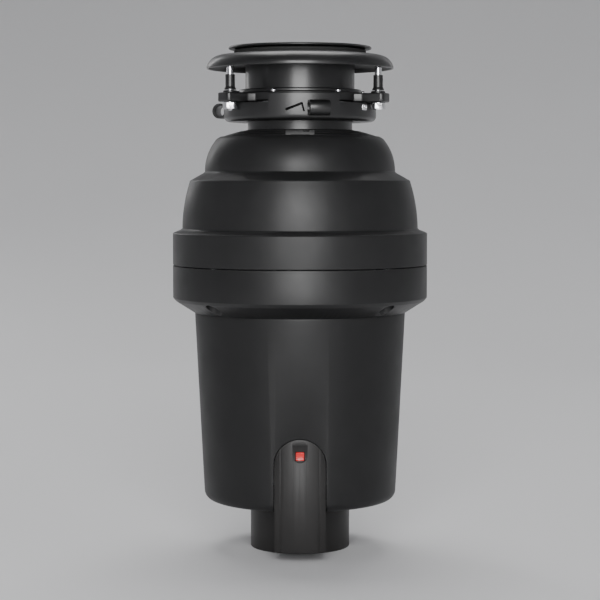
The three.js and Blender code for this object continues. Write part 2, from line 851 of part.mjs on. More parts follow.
function carbonBrush() {
  const start = -commutator.radius - gap;
  const half = brush.width / 2;
  const thin = brush.thickness / 2;
  const [low, high] = [brushHeight - thin, brushHeight + thin];
  return box([-half, half], [start - brush.length, start], [low, high]);
}

function brushHolder() {
  const start = -commutator.radius - 3;
  const end = 6 - canInner;
  const half = brush.width / 2 + gap;
  const thin = brush.thickness / 2 + gap;
  const wall = brush.holderWall;
  const outerX = [-half - wall, half + wall];
  const [low, high] = [brushHeight - thin, brushHeight + thin];
  const outer = box(outerX, [end, start], [low - wall, high + wall]);
  const inner = box([-half, half], [end + wall, start + 1], [low, high]);
  return cut(outer, inner);
}

class Coil extends THREE.Curve {
  constructor(radius, length, turns) {
    super();
    Object.assign(this, { radius, length, turns });
  }

  getPoint(t) {
    const angle = 2 * Math.PI * this.turns * t;
    const [x, z] = [Math.cos(angle) * this.radius, Math.sin(angle) * this.radius];
    return new THREE.Vector3(x, -this.length * t, z);
  }
}

function brushSpring() {
  const start = -commutator.radius - gap - brush.length - 0.8;
  const end = 6 - canInner + brush.holderWall + 0.9;
  const wire = new THREE.Shape();
  wire.absarc(0, 0, 0.5, 0, 2 * Math.PI, false);
  const path = new Coil(2.2, start - end, 3);
  const options = { steps: 21, extrudePath: path, curveSegments: 2, bevelEnabled: false };
  return new THREE.ExtrudeGeometry(wire, options).translate(0, start, brushHeight);
}

// Drawn on the Z axis, hanging from the upper end bell.
function throughBolt() {
  const headTop = motorBottom - motor.plate - gap;
  const length = motorTop + motor.plate + 3 - headTop;
  const { headRadius, headHeight } = motorBolt;
  const head = rod(headRadius, headHeight, [0, 0, -headHeight], "z", 6);
  return join(head, rod(motorBolt.radius, length + 1, [0, 0, -1], "z", facets.tiny));
}

// ---------------------------------------------------------------- housings

function outletClearance() {
  const start = [0, canisterRadius - 20, outletHeight];
  return rod(outletOuter + 1, outletEnd, start, "y", 24);
}

function upperShell() {
  const bottom = bottomOf.seam + gap / 2;
  const shelf = bottomOf.shelf;
  const dome = bottomOf.domeShelf;
  const skin = [
    [bandRadius, bottom],
    [bandRadius, shelf],
    ...bulge([shoulderRadius, shelf + 2.6], [shoulderRadius - 6, dome], 1.35, 2),
    ...bulge([domeRadius, dome + shell.shelfRise], [domeRadius - 10.8, dome + 34.8], 2.6, 3),
    [neckRadius + 7.2, bottomOf.neck],
    [neckRadius + 0.9, bottomOf.neck + 0.8],
  ];
  const boss = rod(6.5, height.upperBand - 5, [0, -shellScrewCircle, bottom], "z", facets.tiny);
  const bore = rod(shellScrew.radius + gap, 19, [0, -shellScrewCircle, bottom - 1], "z", 8);
  const inletHole = rod(inletOuter + 1, shoulderRadius, [0, 40, inletHeight], "y", facets.small);
  const bosses = screwBearings.map((b) => turnTo(boss, b));
  const bores = screwBearings.map((b) => turnTo(bore, b));
  const body = join(turnedSheet(skin, shell.wall), ...bosses);
  return cut(body, ...bores, inletHole, outletClearance());
}

function lowerBand() {
  const top = bottomOf.seam - gap / 2;
  const low = bottomOf.lowerBand;
  const opening = canisterRadius + gap + 0.2;
  const skin = [
    [opening, bottomOf.cone],
    [bandRadius - 2.2, low - 1.6],
    [bandRadius, low + 1],
    [bandRadius, top],
  ];
  const outer = turned([...skin, [0, top], [0, bottomOf.cone]]);
  const start = [0, -shellScrewCircle, bottomOf.cone - 2];
  const post = rod(8, top - start[2], start, "z", 12);
  const posts = screwBearings.map((b) => common(turnTo(post, b), outer));
  const mouth = rod(shellScrew.counterbore, counterboreTop - start[2], start, "z", 12);
  const bore = rod(shellScrew.radius + gap, top - start[2] + 2, start, "z", 8);
  const cuts = screwBearings.flatMap((b) => [turnTo(mouth, b), turnTo(bore, b)]);
  const middle = rod(opening, shell.wall + 4, [0, 0, bottomOf.cone - 1], "z", facets.large);
  const body = join(turnedSheet(skin, shell.wall), ...posts);
  return cut(body, ...cuts, middle, outletClearance());
}

// Drawn on the Z axis, with the top of its head at the bottom of the counterbore.
function housingScrew() {
  const top = bottomOf.seam + 14;
  const length = top - counterboreTop + gap;
  const head = rod(shellScrew.headRadius, shellScrew.headHeight, [0, 0, -shellScrew.headHeight]);
  return join(head, rod(shellScrew.radius, length + 1, [0, 0, -1], "z", 8));
}

function archShape(width, top, bottom) {
  const half = width / 2;
  const shape = new THREE.Shape();
  shape.moveTo(-half, bottom);
  shape.lineTo(half, bottom);
  shape.lineTo(half, top - half);
  shape.absarc(0, top - half, half, 0, Math.PI, false);
  shape.closePath();
  return shape;
}

function canisterSkin() {
  const foot = bottomOf.canister;
  const fillet = canister.footFillet;
  const rise = 23.4;
  return [
    [canister.opening, foot],
    ...bulge([canisterFoot - 1.2 - fillet, foot], [canisterFoot - 1.2, foot + fillet], 2, 3),
    [canisterFoot, foot + rise],
    [canisterRadius, bottomOf.cone],
    [canisterRadius, bottomOf.cone + canister.overlap],
  ];
}

function canisterShell() {
  const slot = spine.width / 2 + gap + 0.1;
  const front = -canisterRadius - 10;
  const back = spineDepth.back - spineRadius + gap;
  const arch = archBlock(slot * 2, spine.top + gap + 0.1, bottomOf.canister - 5, front, back);
  return cut(turnedSheet(canisterSkin(), shell.wall), arch, outletClearance());
}

// An upright arch between two depths along Y.
function archBlock(width, top, bottom, front, back) {
  const options = { depth: back - front, bevelEnabled: false, curveSegments: 8 };
  const block = new THREE.ExtrudeGeometry(archShape(width, top, bottom), options);
  return block.rotateX(Math.PI / 2).translate(0, back, 0);
}

function baseHousing() {
  const top = bottomOf.canister - gap;
  const r = spineRadius;
  const back = spineDepth.back - r;
  const { bottom } = spine;
  const half = spine.width / 2;
  const cup = rod(base.radius, top, [0, 0, 0], "z", facets.medium);
  const strip = archBlock(spine.width, spine.top, bottom, -r - 5, back);
  const faceHalf = spine.faceWidth / 2;
  const face = common(strip, box([-faceHalf, faceHalf], [-r - 5, back], [0, spine.top]));
  const round = (radius) => rod(radius, spine.top + 10, [0, 0, 0], "z", 96);
  const tongue = join(common(strip, round(r - spine.stripStep)), common(face, round(r)));
  const arm = archBlock(spine.width, top + half, bottom, 2 - r, -base.radius + 8);
  const armBelow = common(arm, box([-half, half], [-r, 0], [0, top]));
  const inner = [-half + spineDepth.floor, half - spineDepth.floor];
  const pit = back - spineDepth.back + spineDepth.wall + resetHole.depth;
  const floor = bottom + spineDepth.floor;
  const hollow = box(inner, [pit, back + 1], [floor, spine.top - spineDepth.floor]);
  const duct = box(inner, [pit, 0], [floor, top - spineDepth.floor]);
  const bowl = rod(base.radius - base.wall, top, [0, 0, base.floor], "z", facets.medium);
  const solid = join(cup, tongue, armBelow);
  return cut(solid, hollow, duct, bowl, ...resetRecess(pit), cordHole(), buttonHole(pit));
}

function resetRecess() {
  const { radius } = resetHole;
  const floor = resetHole.depth - spineRadius;
  const start = [0, floor - 10, resetHole.height];
  const pocket = [resetHole.height, resetHole.pocketTop];
  return [rod(radius, 10, start, "y"), box([-radius, radius], [floor - 10, floor - 1], pocket)];
}

function buttonHole(pit) {
  const half = button.side / 2 + gap;
  return box([-half, half], [-spineRadius, pit + 2], [button.height - half, button.height + half]);
}

function cordHole() {
  return rod(grommet.radius + gap, 12, [0, base.radius - 8, grommet.height], "y");
}

function resetButton() {
  const half = button.side / 2;
  const front = button.recess - spineRadius;
  const [low, high] = [button.height - half, button.height + half];
  return box([-half, half], [front, front + button.length], [low, high]);
}

function overloadProtector() {
  const front = button.recess - spineRadius + button.length + button.travel + gap;
  const low = button.height - 9;
  const body = box([-11, 11], [front, front + 9], [low, button.height + 8]);
  const tags = [-6, 6].map((x) => box([x - 2, x + 2], [front + 4, front + 5], [low - 7, low + 1]));
  return join(body, ...tags);
}

function cordGrommet() {
  const skin = [
    [grommet.bore, -base.wall - 0.8],
    [grommet.radius, -base.wall - 0.8],
    [grommet.radius, gap],
    [grommet.flange, gap],
    [grommet.flange, 2.5],
    [grommet.bore + 2, 5],
    [grommet.bore, 5],
  ];
  const ring = turned(skin, facets.small);
  return ring.rotateX(-Math.PI / 2).translate(0, base.radius, grommet.height);
}

function circuitBoard() {
  const radius = base.radius - base.wall - 2;
  const bottom = base.floor + 7;
  const disc = rod(radius, 1.6, [0, 0, bottom], "z", 24);
  const block = box([-14, 14], [-6, 6], [bottom + 1, bottom + 13]);
  const pins = [-20, 20].map((x) => rod(5, 11, [x, 14, bottom + 1], "z", facets.tiny));
  const feet = [-20, 20].map((x) => rod(2.5, 7 - gap, [x, -10, base.floor + gap], "z", 8));
  return join(disc, block, ...pins, ...feet);
}

function insulationRing() {
  const inner = chamberFlange + 3;
  const outer = shoulderRadius - 8.5;
  const bottom = bottomOf.shelf + 3;
  const top = inletHeight - inletOuter - 2;
  return turned([
    [inner, bottom],
    [outer, bottom],
    [outer - 2, top],
    [inner, top],
  ]);
}

// ---------------------------------------------------------------- finishes

const finishes = {
  shell: { color: 0x1b1b1c, roughness: 0.42, metalness: 0.1 },
  canister: { color: 0x171718, roughness: 0.5, metalness: 0.1 },
  blackSteel: { color: 0x141415, roughness: 0.25, metalness: 0.6 },
  chrome: { color: 0xd8d9dc, roughness: 0.12, metalness: 1 },
  steel: { color: 0x9a9da1, roughness: 0.35, metalness: 1 },
  aluminium: { color: 0xb5b7ba, roughness: 0.5, metalness: 0.9 },
  rubber: { color: 0x101010, roughness: 0.85, metalness: 0 },
  copper: { color: 0xb4662f, roughness: 0.4, metalness: 0.9 },
  brass: { color: 0xb89550, roughness: 0.35, metalness: 1 },
  ferrite: { color: 0x2c2b2a, roughness: 0.8, metalness: 0.2 },
  red: { color: 0xb3171b, roughness: 0.35, metalness: 0 },
  board: { color: 0x2d5a35, roughness: 0.6, metalness: 0 },
  foam: { color: 0x3b3b3d, roughness: 0.95, metalness: 0 },
  plastic: { color: 0x232325, roughness: 0.6, metalness: 0 },
};

// ---------------------------------------------------------------- assembly

const disposer = new THREE.Group();
disposer.name = "waste_disposer";

function add(name, geometry, finish, parent = disposer) {
  const mesh = new THREE.Mesh(geometry, new THREE.MeshStandardMaterial(finishes[finish]));
  mesh.name = name;
  parent.add(mesh);
  return mesh;
}

// A group turned to a bearing, for pieces that are drawn on the front.
function turnedGroup(degrees) {
  const group = new THREE.Group();
  group.rotation.z = radians(degrees);
  disposer.add(group);
  return group;
}

add("sink_flange", sinkFlange(), "blackSteel");
add("flange_gasket", flangeGasketRing(), "rubber");
add("support_pan", supportPan(), "blackSteel");
add("upper_mounting_ring", upperMountingRing(), "blackSteel");
add("snap_ring", snapRing(), "steel");
earBearings.forEach((degrees, i) => {
  const place = turnedGroup(degrees);
  const bolt = add(`mounting_screw_${i + 1}`, mountingScrew(), "chrome", place);
  bolt.position.set(0, -screwCircle, earBottom - gap);
  const tube = add(`threaded_sleeve_${i + 1}`, threadedSleeve(), "blackSteel", place);
  tube.position.set(0, -screwCircle, ringTop + ear.bossRise + gap);
});
add("mounting_gasket", mountingGasket(), "rubber");
add("splash_baffle", splashBaffle(), "rubber");
add("lock_ring", lockingRing(), "blackSteel");

add("hopper", hopper(), "blackSteel");
add("inlet_knockout", inletKnockout(), "plastic");
add("clamp_band", clampBand(), "steel");
add("shredder_ring", shredderRing(), "steel");
add("lower_chamber", lowerChamber(), "aluminium");
add("turntable", grindTable(), "steel");
[90, 270].forEach((degrees, i) => {
  const place = turnedGroup(degrees);
  const lug = add(`impeller_${i + 1}`, impellerLug(), "steel", place);
  lug.position.set(0, -impeller.circle, lugBottom);
  const rivet = add(`impeller_rivet_${i + 1}`, impellerRivet(), "steel", place);
  rivet.position.set(0, -impeller.circle, lugBottom);
});
add("hub_nut", hubNutPiece(), "steel");
add("shaft_seal", shaftSeal(), "rubber");

add("motor_shaft", motorShaft(), "steel");
add("upper_end_bell", upperEndBell(), "aluminium");
add("lower_end_bell", lowerEndBell(), "aluminium");
const upperBearing = add("upper_bearing", ballBearing(), "steel");
upperBearing.position.z = chamberFloor - chamber.floor - bearing.width;
const lowerBearing = add("lower_bearing", ballBearing(), "steel");
lowerBearing.position.z = lowerBearingBottom;
add("motor_can", motorCan(), "steel");
add("armature_core", armatureCore(), "steel");
add("armature_winding", armatureWinding(), "copper");
add("commutator", commutatorBarrel(), "copper");
[0, 180].forEach((degrees, i) => {
  const place = turnedGroup(degrees);
  add(`magnet_${i + 1}`, fieldMagnet(), "ferrite", turnedGroup(degrees + 90));
  add(`brush_${i + 1}`, carbonBrush(), "ferrite", place);
  add(`brush_holder_${i + 1}`, brushHolder(), "brass", place);
  add(`brush_spring_${i + 1}`, brushSpring(), "steel", place);
});
[90, 270].forEach((degrees, i) => {
  const bolt = add(`motor_bolt_${i + 1}`, throughBolt(), "steel", turnedGroup(degrees));
  bolt.position.set(0, -boltCircle, motorBottom - motor.plate - gap);
});

add("upper_shell", upperShell(), "shell");
add("lower_band", lowerBand(), "shell");
add("canister_shell", canisterShell(), "canister");
screwBearings.forEach((degrees, i) => {
  const bolt = add(`shell_screw_${i + 1}`, housingScrew(), "steel", turnedGroup(degrees));
  bolt.position.set(0, -shellScrewCircle, counterboreTop - gap);
});
add("upper_insulation", insulationRing(), "foam");
add("base_housing", baseHousing(), "plastic");
add("reset_button", resetButton(), "red");
add("overload_protector", overloadProtector(), "plastic");
add("cord_grommet", cordGrommet(), "rubber");
add("circuit_board", circuitBoard(), "board");

export default disposer;
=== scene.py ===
"""Kitchen waste disposer on a three-bolt sink mount: its visible pieces, finishes and stage."""

import json
import math

import bmesh
import bpy
from bpy.props import FloatProperty, FloatVectorProperty, IntProperty, PointerProperty
from mathutils import Matrix, Vector


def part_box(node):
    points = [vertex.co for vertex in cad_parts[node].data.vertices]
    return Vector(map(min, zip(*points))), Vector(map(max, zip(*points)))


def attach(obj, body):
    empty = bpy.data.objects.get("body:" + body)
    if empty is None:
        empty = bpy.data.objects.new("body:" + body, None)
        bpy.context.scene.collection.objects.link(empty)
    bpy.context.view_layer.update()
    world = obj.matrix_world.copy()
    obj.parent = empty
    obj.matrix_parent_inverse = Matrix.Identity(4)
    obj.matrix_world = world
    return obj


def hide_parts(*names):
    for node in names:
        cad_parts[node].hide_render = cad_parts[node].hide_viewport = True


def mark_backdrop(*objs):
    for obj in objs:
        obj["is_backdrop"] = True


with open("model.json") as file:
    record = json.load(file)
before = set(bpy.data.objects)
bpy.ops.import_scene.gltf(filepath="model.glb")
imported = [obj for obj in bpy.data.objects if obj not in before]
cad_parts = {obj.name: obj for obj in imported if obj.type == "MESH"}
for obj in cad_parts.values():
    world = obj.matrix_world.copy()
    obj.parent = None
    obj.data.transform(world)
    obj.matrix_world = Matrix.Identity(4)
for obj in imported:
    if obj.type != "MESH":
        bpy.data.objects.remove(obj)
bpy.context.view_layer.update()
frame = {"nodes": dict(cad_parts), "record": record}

bl_info = {
    "name": "Waste disposer",
    "version": (1, 0, 0),
    "blender": (4, 5, 0),
    "location": "View3D > Sidebar > Disposer",
    "description": "Models the visible pieces of a kitchen waste disposer round its CAD frame",
    "category": "Object",
}

MM = 0.001
TURN_STEPS = 144
SMALL_STEPS = 48
EARS = (1, 2, 3)
OUTLET_HOLE = 19.6  # radius, clear of the discharge pipe
CROWN_DROP = 1.3  # from the top of the CAD shell down to the dome's crown
CHAMBER_OUTER = 64.3
CHAMBER_INNER = 61.8
PIPE_OUTER = 18.5
PIPE_INNER = 16
WRENCH_BORE = 4.4


def low(node):
    """The lowest corner of a CAD node, in millimetres."""
    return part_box(node)[0] / MM


def high(node):
    """The highest corner of a CAD node, in millimetres."""
    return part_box(node)[1] / MM


def middle(node):
    return (low(node) + high(node)) / 2


# ------------------------------------------------------------------ sizes and colours


def length(name, description, millimetres):
    return FloatProperty(
        name=name, description=description, default=millimetres * MM, unit="LENGTH"
    )


def colour(name, description, rgb):
    return FloatVectorProperty(
        name=name, description=description, default=rgb, subtype="COLOR", min=0, max=1
    )


class HousingSizes(bpy.types.PropertyGroup):
    """Sizes of the stepped housing."""

    band_radius: length("Band radius", "Outside of the widest band", -low("upper_shell").y)
    shoulder_radius: length("Shoulder radius", "Foot of the shoulder above the band", 94.0)
    dome_radius: length("Dome radius", "Foot of the dome above the shoulder", 75.8)
    wall: length("Wall", "Thickness of the moulded shells", 2.4)
    canister_radius: length("Canister radius", "Canister at its top", -low("canister_shell").y)
    canister_taper: length("Canister taper", "How much narrower the canister is at its foot", 6.3)
    canister_fillet: length("Canister fillet", "Round edge under the canister", 7.4)
    counterbore: length("Counterbore", "Radius of the screw recesses", 6.0)


class BaseSizes(bpy.types.PropertyGroup):
    """Sizes of the base and its front spine."""

    boss_radius: length("Boss radius", "Round boss under the canister", high("base_housing").y)
    spine_width: length("Spine width", "Width across the spine", 39.6)
    face_width: length("Face width", "Width of the spine's raised face", 29.0)
    strip_step: length("Strip step", "How far the side strips lie behind the face", 1.8)
    hole_radius: length("Hole radius", "Recess round the reset button", 5.7)
    hole_depth: length("Hole depth", "Depth of that recess", 3.4)


class MountSizes(bpy.types.PropertyGroup):
    """Sizes of the sink mount."""

    throat_radius: length("Throat radius", "Outside of the sink flange's tube", 43.4)
    throat_wall: length("Throat wall", "Thickness of the sink flange", 1.6)
    pan_wall: length("Pan wall", "Thickness of the support pan", 1.6)
    ear_width: length("Ear width", "Width of an ear of the upper ring", 16.0)
    screw_radius: length("Screw radius", "Shank of a mounting screw", 2.75)
    socket_radius: length("Socket radius", "Outside of a rolled wrench socket", 6.1)
    slit_width: length("Slit width", "Width of the ramp slits in the locking ring", 1.9)
    baffle_flaps: IntProperty(
        name="Baffle flaps", description="Flaps in the splash baffle", default=6, min=3
    )


class FinishColours(bpy.types.PropertyGroup):
    """Colours of the finishes."""

    shell: colour("Shell", "Satin black housing", (0.0100, 0.0100, 0.0103))
    canister: colour("Canister", "Matt black canister", (0.0068, 0.0068, 0.0071))
    base: colour("Base", "Black base moulding", (0.0115, 0.0108, 0.0106))
    coated_steel: colour("Coated steel", "Glossy black steel", (0.0055, 0.0055, 0.0058))
    rubber: colour("Rubber", "Black rubber", (0.0100, 0.0100, 0.0105))
    button: colour("Button", "Red reset button", (0.46, 0.012, 0.012))
    floor: colour("Floor", "Pale studio floor", (0.78, 0.78, 0.79))


class StageSizes(bpy.types.PropertyGroup):
    """Where the camera stands and how large the studio is."""

    camera_distance: length("Camera distance", "From the object's axis", 1510.0)
    camera_height: length("Camera height", "Above the floor", 294.0)
    aim_height: length("Aim height", "Height on the axis that the camera looks at", 198.0)
    view_angle: FloatProperty(
        name="View angle", description="Angle of view", default=math.radians(18.06), subtype="ANGLE"
    )
    studio_radius: length("Studio radius", "Radius of the round backdrop", 4200.0)


GROUPS = {
    "disposer_housing": HousingSizes,
    "disposer_base": BaseSizes,
    "disposer_mount": MountSizes,
    "disposer_finishes": FinishColours,
    "disposer_stage": StageSizes,
}


class Millimetres:
    """Reads the sizes of a property group in millimetres."""

    def __init__(self, group):
        self._group = group

    def __getattr__(self, name):
        return getattr(self._group, name) / MM


# ------------------------------------------------------------------ outlines, in millimetres


def rounded(corners, steps=5, closed=True):
    """Outline points; a corner with a third number is rounded to that radius."""
    points = []
    last = len(corners) - 1
    for i, corner in enumerate(corners):
        here = Vector(corner[:2])
        if len(corner) < 3 or (not closed and i in (0, last)):
            points.append(here)
            continue
        back = Vector(corners[i - 1][:2]) - here
        ahead = Vector(corners[(i + 1) % len(corners)][:2]) - here
        half = back.angle(ahead) / 2
        reach = min(corner[2] / math.tan(half), back.length * 0.49, ahead.length * 0.49)
        spread = (back.normalized() + ahead.normalized()).normalized()
        centre = here + spread * (reach / math.cos(half))
        start = here + back.normalized() * reach - centre
        end = here + ahead.normalized() * reach - centre
        first = math.atan2(start.y, start.x)
        sweep = (math.atan2(end.y, end.x) - first + math.pi) % (2 * math.pi) - math.pi
        for k in range(steps + 1):
            angle = first + sweep * k / steps
            points.append(centre + Vector((math.cos(angle), math.sin(angle))) * start.length)
    return points


def bowed(start, end, sagitta, steps=12):
    """Points along an arc that bulges to the right of the way from start to end."""
    start, end = Vector(start), Vector(end)
    along = end - start
    chord = along.length
    out = Vector((along.y, -along.x)) / chord
    radius = chord * chord / (8 * sagitta) + sagitta / 2
    half = math.asin(chord / 2 / radius)
    points = []
    for k in range(steps + 1):
        angle = half * (2 * k / steps - 1)
        share = 0.5 + math.sin(angle) * radius / chord
        points.append(start + along * share + out * (math.cos(angle) * radius - radius + sagitta))
    return points


def inset(outline, thickness):
    """The same open outline, moved to its left by a thickness."""
    moved = []
    last = len(outline) - 1
    for i, point in enumerate(outline):
        before = point - outline[i - 1] if i else outline[1] - point
        after = outline[i + 1] - point if i < last else before
        before = before.normalized()
        after = after.normalized()
        across = Vector((-before.y - after.y, before.x + after.x)).normalized()
        share = across.dot(Vector((-before.y, before.x)))
        moved.append(point + across * (thickness / max(share, 0.4)))
    return moved


def sheet(corners, thickness, steps=5):
    """A closed outline for a sheet: its outer skin, read upwards, and its inner side."""
    moved = inset([Vector(corner[:2]) for corner in corners], thickness)
    inner = [(*point, max(corner[2] - thickness, 0.4)) if len(corner) > 2 else tuple(point)
             for point, corner in zip(moved, corners)]
    return rounded(corners, steps, False) + rounded(inner[::-1], steps, False)


# ------------------------------------------------------------------ modelling


def deselect_all():
    if bpy.context.object and bpy.context.object.mode != "OBJECT":
        bpy.ops.object.mode_set(mode="OBJECT")
    bpy.ops.object.select_all(action="DESELECT")


def make_active(piece):
    deselect_all()
    piece.select_set(True)
    bpy.context.view_layer.objects.active = piece


def apply_place(piece):
    make_active(piece)
    bpy.ops.object.transform_apply(location=True, rotation=True, scale=True)


def pick(piece, kind, wanted):
    """Selects the vertices, edges or faces of a piece in edit mode that a test wants."""
    bpy.ops.mesh.select_all(action="DESELECT")
    mesh = bmesh.from_edit_mesh(piece.data)
    for part in getattr(mesh, kind):
        if wanted(part):
            part.select_set(True)
    bmesh.update_edit_mesh(piece.data)


def draw_line(name, points, plane="XZ", closed=True):
    """A line of edges through points in a plane, left in edit mode and selected."""
    deselect_all()
    bpy.ops.mesh.primitive_plane_add(size=MM)
    piece = bpy.context.object
    piece.name = name
    bpy.ops.object.mode_set(mode="EDIT")
    bpy.ops.mesh.select_all(action="SELECT")
    bpy.ops.mesh.merge(type="CENTER")
    spots = [spot(point, plane) for point in points]
    bpy.ops.transform.translate(value=spots[0])
    for here, there in zip(spots, spots[1:]):
        move = {"value": there - here}
        bpy.ops.mesh.extrude_vertices_move(TRANSFORM_OT_translate=move)
    if closed:
        pick(piece, "verts", lambda vertex: len(vertex.link_edges) == 1)
        bpy.ops.mesh.edge_face_add()
    bpy.ops.mesh.select_all(action="SELECT")
    return piece


def spot(point, plane):
    x, y = point[0] * MM, point[1] * MM
    return Vector((x, 0, y)) if plane == "XZ" else Vector((x, y, 0))


def turn(name, outline, steps=TURN_STEPS):
    """A turned piece about Z from an outline of (radius, height), open where it meets the axis."""
    piece = draw_line(name, outline, closed=outline[0][0] > 0 or outline[-1][0] > 0)
    bpy.ops.mesh.spin(steps=steps, angle=2 * math.pi, center=(0, 0, 0), axis=(0, 0, 1))
    bpy.ops.mesh.select_all(action="SELECT")
    bpy.ops.mesh.remove_doubles(threshold=1e-6)
    bpy.ops.mesh.normals_make_consistent(inside=False)
    bpy.ops.object.mode_set(mode="OBJECT")
    return piece


def plate(name, outline, start, depth, plane="XY"):
    """A flat outline filled and extruded by a depth: up from a height, or back along Y."""
    piece = draw_line(name, outline, plane)
    bpy.ops.mesh.edge_face_add()
    along = Vector((0, 0, 1)) if plane == "XY" else Vector((0, 1, 0))
    bpy.ops.transform.translate(value=along * start * MM)
    move = {"value": along * depth * MM}
    bpy.ops.mesh.extrude_region_move(TRANSFORM_OT_translate=move)
    bpy.ops.mesh.select_all(action="SELECT")
    bpy.ops.mesh.normals_make_consistent(inside=False)
    bpy.ops.object.mode_set(mode="OBJECT")
    return piece


def block(name, lowest, highest):
    """A cuboid between two corners."""
    lowest, highest = Vector(lowest) * MM, Vector(highest) * MM
    deselect_all()
    bpy.ops.mesh.primitive_cube_add(size=1, location=(lowest + highest) / 2)
    piece = bpy.context.object
    piece.name = name
    piece.scale = highest - lowest
    apply_place(piece)
    return piece


def bar(name, radius, start, end, sides=SMALL_STEPS):
    """A round bar between two points."""
    start, end = Vector(start) * MM, Vector(end) * MM
    deselect_all()
    bpy.ops.mesh.primitive_cylinder_add(
        vertices=sides, radius=radius * MM, depth=(end - start).length, location=(start + end) / 2
    )
    piece = bpy.context.object
    piece.name = name
    piece.rotation_mode = "QUATERNION"
    piece.rotation_quaternion = (end - start).to_track_quat("Z", "Y")
    apply_place(piece)
    return piece


def swing(piece, degrees, shift=(0, 0, 0)):
    """Turns a piece round the object's axis, after a shift in its own frame."""
    turn_about = Matrix.Rotation(math.radians(degrees), 4, "Z")
    piece.matrix_world = turn_about @ Matrix.Translation(Vector(shift) * MM)
    apply_place(piece)
    return piece


def lay_back(piece, place):
    """Lays a piece that was turned about Z along +Y, and puts it in its place."""
    lie = Matrix.Rotation(math.radians(-90), 4, "X")
    piece.matrix_world = Matrix.Translation(Vector(place) * MM) @ lie
    apply_place(piece)
    return piece


def copy_of(piece, name):
    twin = piece.copy()
    twin.data = piece.data.copy()
    twin.name = name
    bpy.context.scene.collection.objects.link(twin)
    return twin


def boolean(piece, operation, tools):
    for tool in tools:
        make_active(piece)
        modifier = piece.modifiers.new("Cut", "BOOLEAN")
        modifier.operation = operation
        modifier.solver = "EXACT"
        modifier.object = tool
        bpy.ops.object.modifier_apply(modifier=modifier.name)
        bpy.data.objects.remove(tool)
    return piece


def carve(piece, *tools):
    return boolean(piece, "DIFFERENCE", tools)


def weld(piece, *tools):
    return boolean(piece, "UNION", tools)


def keep_inside(piece, tool):
    return boolean(piece, "INTERSECT", [tool])


def soften(piece, width, segments=2, angle=35):
    """Rounds the sharp edges of a piece."""
    make_active(piece)
    modifier = piece.modifiers.new("Edges", "BEVEL")
    modifier.width = width * MM
    modifier.segments = segments
    modifier.limit_method = "ANGLE"
    modifier.angle_limit = math.radians(angle)
    modifier.use_clamp_overlap = True
    modifier.harden_normals = False
    bpy.ops.object.modifier_apply(modifier=modifier.name)
    return piece


def smooth(piece, degrees=32):
    make_active(piece)
    bpy.ops.object.shade_smooth_by_angle(angle=math.radians(degrees))
    return piece


def finish(piece, name, finish_name, body="housing", nodes=()):
    """Names a piece, gives it its finish, and lets it ride on its body."""
    apply_place(piece)
    piece.name = name
    piece.data.name = name
    piece.data.materials.clear()
    piece.data.materials.append(material(finish_name))
    smooth(piece)
    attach(piece, body)
    if nodes:
        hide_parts(*nodes)
    return piece


# ------------------------------------------------------------------ finishes


